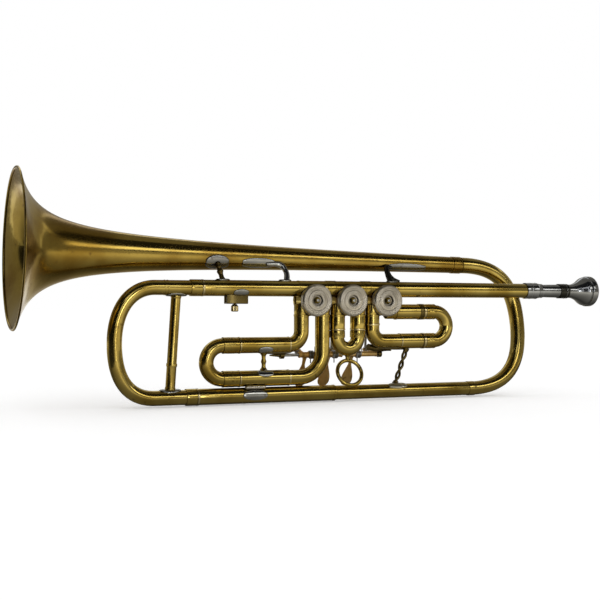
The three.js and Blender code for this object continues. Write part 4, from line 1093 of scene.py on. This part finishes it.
def make_slide_1():
    upper, lower = level(slide1_upper), level(slide1_lower)
    end, port_x = slide1_sleeve_end, valve_pitch - port_offset
    piece("slide_1_upper_sleeve", brass, [sleeve(upper(valve_pitch + stub_reach + seam), upper(end))])
    rings = [make_leg("slide_1_lower_leg", port_x, lower, slide1_turn, 1, slide1_lower_sleeve, end)]
    rings += [end_ring(upper(end), -X, 2), end_ring(lower(end), -X, 2)]
    rings.append(band(at(port_x, 0, slide1_leg_ring_height), Z, ferrule_radius, 1.6, bore_radius + 0.2))
    piece("slide_1_rings", bright_brass, rings)
    dark = [band(upper(end - dark_ring_inset), X, ferrule_radius + 0.15, dark_ring_width, end_ring_bore)]
    dark.append(band(lower(end - lower_dark_ring_inset), X, ferrule_radius, 1, end_ring_bore))
    piece("slide_1_dark_rings", dark_brass, dark)
    make_bow("slide_1", (upper, lower), X, end, slide1_leg_inside, slide1_bow_start)


def make_slide_2():
    legs = lambda z: at(-port_offset, 0, z), lambda z: at(port_offset, 0, z)
    rings = []
    for name, along in zip(("left", "right"), legs):
        end = along(slide2_sleeve_end)
        piece("slide_2_sleeve_" + name, brass, [sleeve(along(stub_end - seam), end)])
        rings.append(end_ring(end, Z, 1.2))
    piece("slide_2_rings", bright_brass, rings)
    turn_at = slide2_sleeve_end - seam - slide2_ferrule_length
    bottom = turn_at - port_offset
    centre = at(0, -ring_forward, bottom - ring_drop)
    up = at(0, sin(ring_tilt), cos(ring_tilt))
    turns = np.linspace(0, 2 * pi, hoop_steps + 1)
    hoop = [centre + X * ring_radius * cos(a) + up * ring_radius * sin(a) for a in turns]
    ring = swept(hoop, ring_wire, sides=small_sides, closed=True, carried=True)
    shape = [(0, 0), (0, 2.6), (0.3, 1.7), (0.6, 1.6), (1, 2.4), (1, 0)]
    lug = post(at(0, 0, bottom - leg_radius + 0.3), centre + up * ring_radius, shape, 0.6)
    make_bow("slide_2", legs, -Z, slide2_sleeve_end, slide2_leg_inside, turn_at, (0.3, 0.8), (ring, lug))


def make_slide_3():
    upper, lower = level(slide3_upper), level(slide3_lower)
    start, end = slide3_sleeve_start, slide3_sleeve_end
    rings = []
    for name, side, along, turn in (
        ("upper", -1, upper, slide3_upper_turn), ("lower", 1, lower, slide3_lower_turn),
    ):
        port_x = -valve_pitch + side * port_offset
        rings.append(make_leg("slide_3_" + name + "_leg", port_x, along, turn, -1, start, end))
        rings.append(end_ring(along(end), X, 1.2))
    piece("slide_3_rings", bright_brass, rings)
    make_bow("slide_3", (upper, lower), -X, end, slide3_leg_inside, slide3_bow_start)
    shape = [(0, 0), (0, 3.4), (0.08, 2.6), (0.16, 1.8), (0.36, 1.7), (0.44, 2.1)]
    shape += [(0.5, 2.4)] + [(1 - share, radius) for share, radius in reversed(shape)]
    ends = upper(post_x) - Z * sleeve_radius, lower(post_x) + Z * sleeve_radius
    piece("slide_3_post", brass, [post(*ends, shape, 0.8, 5)])
    plates = []
    for place, (half, y, z, degrees) in zip((upper, lower), slide3_plates):
        ends = post_x - half, post_x + half
        plates.append(level_saddle(place, *ends, at(0, y, z), degrees, sleeve_radius, 0.5, 1))
    piece("slide_3_saddles", aged_nickel, plates)


def make_bell_post():
    upper = on_bell(bell_post_x, 1.2)
    to_leg = at(0, upper.y, upper.z).normalized()
    foot_x = bell_post_x + bell_post_lean
    lower = upper_at(foot_x) + to_leg * (sleeve_radius + 0.2)
    shape = [(0, 0), (0, 2.4), (0.16, 2.3), (0.24, 2.8), (0.32, 1.9), (0.42, 2.2), (0.5, 2.9), (0.58, 2.2)]
    shape += [(0.68, 1.9), (0.86, 2), (1, 3), (1, 0)]
    piece("bell_post", dark_brass, [post(upper, lower, shape, 0.6, 4)])
    ends, angle = (bell_post_x - bell_post_plate, bell_post_x + bell_post_plate), bell_post_plate_angle
    plates = [saddle(bell_at, bell_along, *ends, bell_down, angle, bell_radius, wall=1.3)]
    ends = foot_x - bell_post_foot_plate, foot_x + bell_post_foot_plate
    plates.append(level_saddle(upper_at, *ends, to_leg, angle, sleeve_radius))
    piece("bell_post_saddles", aged_nickel, plates)


def make_bell_bracket(name, plate, way, out, foot_plate, tube_radius):
    """A hooked strap from a long plate on the bell to a plate on the tube below."""
    end = plate[1] if way > 0 else plate[0]
    start = on_bell(end - way * out, strap_seat - 0.6)
    beyond = on_bell(end + way * out / 2, strap_seat)
    landing = at(end + way * out * 0.9, 0, tube_radius + 0.4)
    side = start.lerp(landing, 0.5)
    side.x = end + way * out
    path = through([start, beyond, side, landing], strap_steps)
    shells = [bar(path, strap_widths, strap_flatness)]
    if way < 0:
        for reach, widths in webs:
            web = [beyond.lerp(side, 0.4), side.lerp(landing, 0.6) + X * reach / 4, landing + X * reach]
            shells.append(bar(through(web, web_steps), widths, web_flatness))
    # The right strap's near-black finish is painted shade for its side facing away from the light; the left
    # strap is plain aged nickel
    piece(name + "_strap", aged_nickel if way > 0 else painted_shade_nickel, shells)
    plates = [saddle(bell_at, bell_along, *plate, bell_down, bracket_plate_angle, bell_radius, 0.5, 0.9)]
    ends = landing.x - foot_plate[0], landing.x + foot_plate[1]
    plates.append(level_saddle(upper_at, *ends, Z, bracket_plate_angle, tube_radius))
    piece(name, aged_nickel, plates)


def make_twisted_brace():
    top = at(twist_top_x, 0, slide1_lower - sleeve_radius)
    foot = at(twist_foot_x, 0, -main_drop + leg_radius)
    axis = foot - top
    along = axis.normalized()
    side = (Y - along * Y.dot(along)).normalized()
    other = along.cross(side)
    shells = []
    for phase in (0, pi):
        path = []
        for i in range(strand_steps + 1):
            angle = phase + 2 * pi * twist_turns * i / strand_steps
            out = side * cos(angle) + other * sin(angle)
            path.append(top + axis * i / strand_steps + out * strand_offset)
        shells.append(swept(path, strand_radius, sides=20, carried=True))
    for place, way in ((top, 1), (foot, -1)):
        profile = [(0, 0), (0, 3), (1, 2.7), (2, 2.3), (3, 2.2), (3, 0)]
        shells.append(turned(place, along * way, eased(profile, 0.4), small_sides))
    piece("twisted_brace", dark_brass, shells)
    front = at(0, -sin(twist_plate_lean), cos(twist_plate_lean))
    ends = (twist_foot_x + end for end in twist_plate)
    plate = level_saddle(lower_at, *ends, front, twist_plate_angle, leg_radius, 0.5, 1.1)
    piece("twisted_brace_saddle", bright_nickel, [plate])


def make_valley_brace():
    gap = slide3_lower + main_drop
    apart = sleeve_radius + seam + 1.6
    start = at(valley_x - valley_half_length, -sqrt(apart**2 - gap**2 / 4), -main_drop + gap / 2)
    profile = [(0, 0), (0.3, 1), (1.4, 1.6), (8, 1.75), (10.4, 1.75), (17, 1.6), (18.1, 1), (18.4, 0)]
    piece("valley_brace", nickel, [turned(start, X, eased(profile, 0.5), small_sides)])
    ends = (valley_x + end for end in valley_plate)
    plate = level_saddle(lower_at, *ends, at(0, -1, 0.1), valley_plate_angle, sleeve_radius, 0.2, 0.7)
    piece("valley_plate", aged_nickel, [plate])


def outline(points, sides):
    """The points of a closed outline, set evenly round it."""
    spots = [np.array(p, float) for p in points]
    spots.append(spots[0])
    runs = np.cumsum([0] + [np.linalg.norm(b - a) for a, b in zip(spots, spots[1:])])
    wanted = np.linspace(0, runs[-1], sides, endpoint=False)
    return np.stack([np.interp(wanted, runs, [p[i] for p in spots]) for i in (0, 1)], 1)


def make_lyre_socket():
    half, room = lyre_width / 2, sleeve_radius + 0.05
    arch = [(half * s, -sqrt(room**2 - (half * s) ** 2)) for s in np.linspace(1, -1, 9)]
    above, beside = lyre_chamfer - lyre_bottom, half - lyre_chamfer
    foot = [(-half, above), (-beside, -lyre_bottom), (beside, -lyre_bottom), (half, above)]
    outer = outline(arch + foot, turned_sides)
    low, side = lyre_wall - lyre_bottom, lyre_square / 2
    high = low + lyre_square
    inner = outline([(side, high), (-side, high), (-side, low), (side, low)], turned_sides)
    start, end = lyre_x - lyre_length / 2, lyre_x + lyre_length / 2
    corners = ((lyre_edge, outer, 0), (0, outer, 0.06), (0, inner, -0.06), (lyre_edge, inner, 0))
    loops = [(start + inset, loop, share) for inset, loop, share in corners]
    loops += [(end - inset, loop, share) for inset, loop, share in reversed(corners)]
    rings = []
    for x, loop, share in loops:
        shrunk = loop + (loop.mean(0) - loop) * share
        rings.append(np.column_stack([np.full(len(loop), x), shrunk]))
    numbers = [range(i * turned_sides, (i + 1) * turned_sides) for i in range(len(rings))]
    piece("lyre_socket", dark_brass, [(np.vstack(rings), bridge(numbers, True))])
    front = at(0, -cos(lyre_plate_lean), -sin(lyre_plate_lean))
    plate = level_saddle(upper_at, lyre_x - lyre_plate_start, end, front, lyre_plate_angle, sleeve_radius)
    piece("lyre_saddle", aged_nickel, [plate])
    top = at(lyre_screw_x, 0, 1.7 - lyre_bottom - seam)
    profile = [(0, 0), (0, 1.1), (1.7, 1.1), (1.7, 2), (2.4, 2.2), (3.2, 3), (7.1, 3), (7.7, 2.4), (7.7, 0)]
    screw = turned(top, -Z, eased(profile), turned_sides, lyre_knurls, 0.35)
    piece("lyre_screw", bright_brass, [screw], "lyre_thumbscrew")


make_bell()
make_rear_bow()
make_main_slide()
make_leadpipe()
make_mouthpiece()
make_valves()
make_collars()
make_levers()
make_slide_1()
make_slide_2()
make_slide_3()
make_bell_post()
make_bell_bracket("bell_bracket_left", left_plate, 1, left_strap_out, left_landing, sleeve_radius)
make_bell_bracket("bell_bracket_right", right_plate, -1, right_strap_out, right_landing, port_radius)
make_twisted_brace()
make_valley_brace()
make_lyre_socket()

# Floor, world, cards, lamp and camera, in metres
view = Vector((0.3875, 0.9219, 0))
right = view.cross(Z)
camera_place = (-0.37155, -0.82647, -0.00839)
camera_roll = radians(0.28)
side_azimuth = 45.6
floor_height = cad_box[0][2] - 0.0005
low_height = floor_height + 0.0003
top_height = 1.5
lamp_azimuth = 22
lamp_elevation = 1
lamp_distance = 1.5
lamp_width = 0.2
lamp_height = 0.6
lamp_radiance = 5
grey, pale, warm = (1, 1, 1, 1), (1, 0.97, 0.9, 1), (1, 0.94, 0.8, 1)


def plane(name, centre, across, up, material):
    """A flat rectangle whose half sides are the two vectors given."""
    centre, across, up = Vector(centre), Vector(across), Vector(up)
    mesh = bpy.data.meshes.new(name)
    corners = [centre - across - up, centre + across - up, centre + across + up, centre - across + up]
    mesh.from_pydata(corners, [], [(0, 1, 2, 3)])
    mesh.materials.append(material)
    made = add(name, mesh)
    return made


def sees_background(tree):
    """1 for rays from the camera and for those that metal or glass sends on, otherwise 0."""
    path = tree.nodes.new("ShaderNodeLightPath")
    share = path.outputs["Is Camera Ray"]
    for name in ("Is Glossy Ray", "Is Transmission Ray"):
        share = node(tree, "Math", {0: share, 1: path.outputs[name]}, operation="MAXIMUM").outputs[0]
    return share


def make_floor():
    material, tree, shader, place = new_material("floor")
    paper = blend(tree, noise(tree, place, 9, 3), (0.84, 0.84, 0.84), (0.87, 0.87, 0.87))
    glow = node(tree, "Math", {0: sees_background(tree), 1: 0.3}, operation="MULTIPLY").outputs[0]
    feed(tree, shader, {"Base Color": paper, "Roughness": 0.95, "Specular IOR Level": 0})
    feed(tree, shader, {"Emission Color": (1, 1, 1, 1), "Emission Strength": glow})
    plane("floor", (0, 0, floor_height), (6, 0, 0), (0, 6, 0), material)


def make_world():
    world = bpy.data.worlds.new("world")
    bpy.context.scene.world = world
    world.use_nodes = True
    tree = world.node_tree
    ambient = node(tree, "MapRange", {"Value": sees_background(tree), "To Min": 0.85, "To Max": 1}).outputs[0]
    feed(tree, tree.nodes["Background"], {"Color": (1, 1, 1, 1), "Strength": ambient})


def toward(azimuth, elevation):
    """A direction from the instrument. Azimuth 0 is the camera's side, and it grows to the right."""
    turn = Matrix.Rotation(radians(azimuth), 3, "Z")
    return (turn @ -view) * cos(radians(elevation)) + Z * sin(radians(elevation))


def tone(name, colour, near, far=None, limit=0):
    """A glow of one strength, or one that changes along Y from near at 0 to far at the limit."""
    material, tree, shader, place = new_material(name)
    tree.nodes.remove(shader)
    strength = near
    if far is not None:
        depth = node(tree, "SeparateXYZ", {"Vector": place}).outputs["Y"]
        limits = {"Value": depth, "From Min": 0, "From Max": limit, "To Min": near, "To Max": far}
        strength = node(tree, "MapRange", limits).outputs["Result"]
    emission = node(tree, "Emission", {"Color": colour, "Strength": strength}).outputs[0]
    feed(tree, tree.nodes["Material Output"], {"Surface": emission})
    material.cycles.emission_sampling = "NONE"
    return material


def card(name, centre, across, up, *glow):
    """A card that only the metal's reflections see."""
    made = plane(name, centre, across, up, tone(name, *glow))
    made.visible_camera = made.visible_diffuse = made.visible_shadow = made.visible_transmission = False


def wall(name, azimuth, half_width, colour, strength, distance=1.8, low=floor_height, high=1.2):
    """An upright card round the instrument."""
    out = toward(azimuth, 0)
    centre = out * distance + Z * (low + high) / 2
    card(name, centre, out.cross(Z) * half_width, Z * (high - low) / 2, colour, strength)


def shelf(name, centre, half_width, half_depth, *glow):
    """A level card above or below the instrument."""
    card(name, centre, (half_width, 0, 0), (0, half_depth, 0), *glow)


def make_lamp():
    """A rectangular soft lamp that looks at the instrument."""
    out = toward(lamp_azimuth, lamp_elevation)
    light = bpy.data.lights.new("front", "AREA")
    light.shape = "RECTANGLE"
    light.size, light.size_y = lamp_width, lamp_height
    light.energy = lamp_radiance * pi * lamp_width * lamp_height
    made = add("front", light)
    made.location = out * lamp_distance
    made.rotation_euler = (-out).to_track_quat("-Z", "Y").to_euler()
    made.visible_camera = False


def make_camera():
    lens = bpy.data.cameras.new("camera")
    lens.lens = 63
    lens.sensor_width = 36
    lens.clip_start = 0.01
    camera = add("camera", lens)
    rolled_right, rolled_up = right + camera_roll * Z, Z - camera_roll * right
    turn = Matrix((rolled_right.normalized(), rolled_up.normalized(), -view.normalized())).transposed()
    camera.matrix_world = Matrix.Translation(camera_place) @ turn.to_4x4()
    bpy.context.scene.camera = camera


make_floor()
make_world()
wall("card_left", -112, 1.4, warm, 0.22)
wall("card_front_left", -44, 1.75, grey, 0.012, distance=1.85)
wall("card_front_right", 22, 0.42, grey, 0.07)
wall("card_side", side_azimuth, 0.6, grey, 0.03, distance=1.85, high=1.5)
wall("card_side_band", side_azimuth, 0.55, warm, 0.38, distance=1.75, high=0.34)
wall("card_side_window", 47, 0.62, pale, 2.2, distance=1.65, low=0.54, high=0.95)
wall("card_right", 92, 1.0, warm, 0.2)
wall("card_back", 165, 1.5, warm, 0.32)
shelf("card_top_front", (0, -1.1, top_height), 2.2, 0.8, grey, 0.02)
shelf("card_top_back", (0, 0.5, top_height), 2.2, 0.8, warm, 0.18)
shelf("card_low", (0, -0.85, low_height), 1.9, 0.85, warm, 0.08, 0.85, -0.33)
shelf("card_low_left", (-1.1, -0.85, low_height + 0.0003), 0.82, 0.85, grey, 0.03)
shelf("card_under", (0, 0.35, low_height), 1.9, 0.35, warm, 0.06, 0.5, 0.3)
make_lamp()
make_camera()

bpy.context.scene.view_settings.view_transform = "Standard"
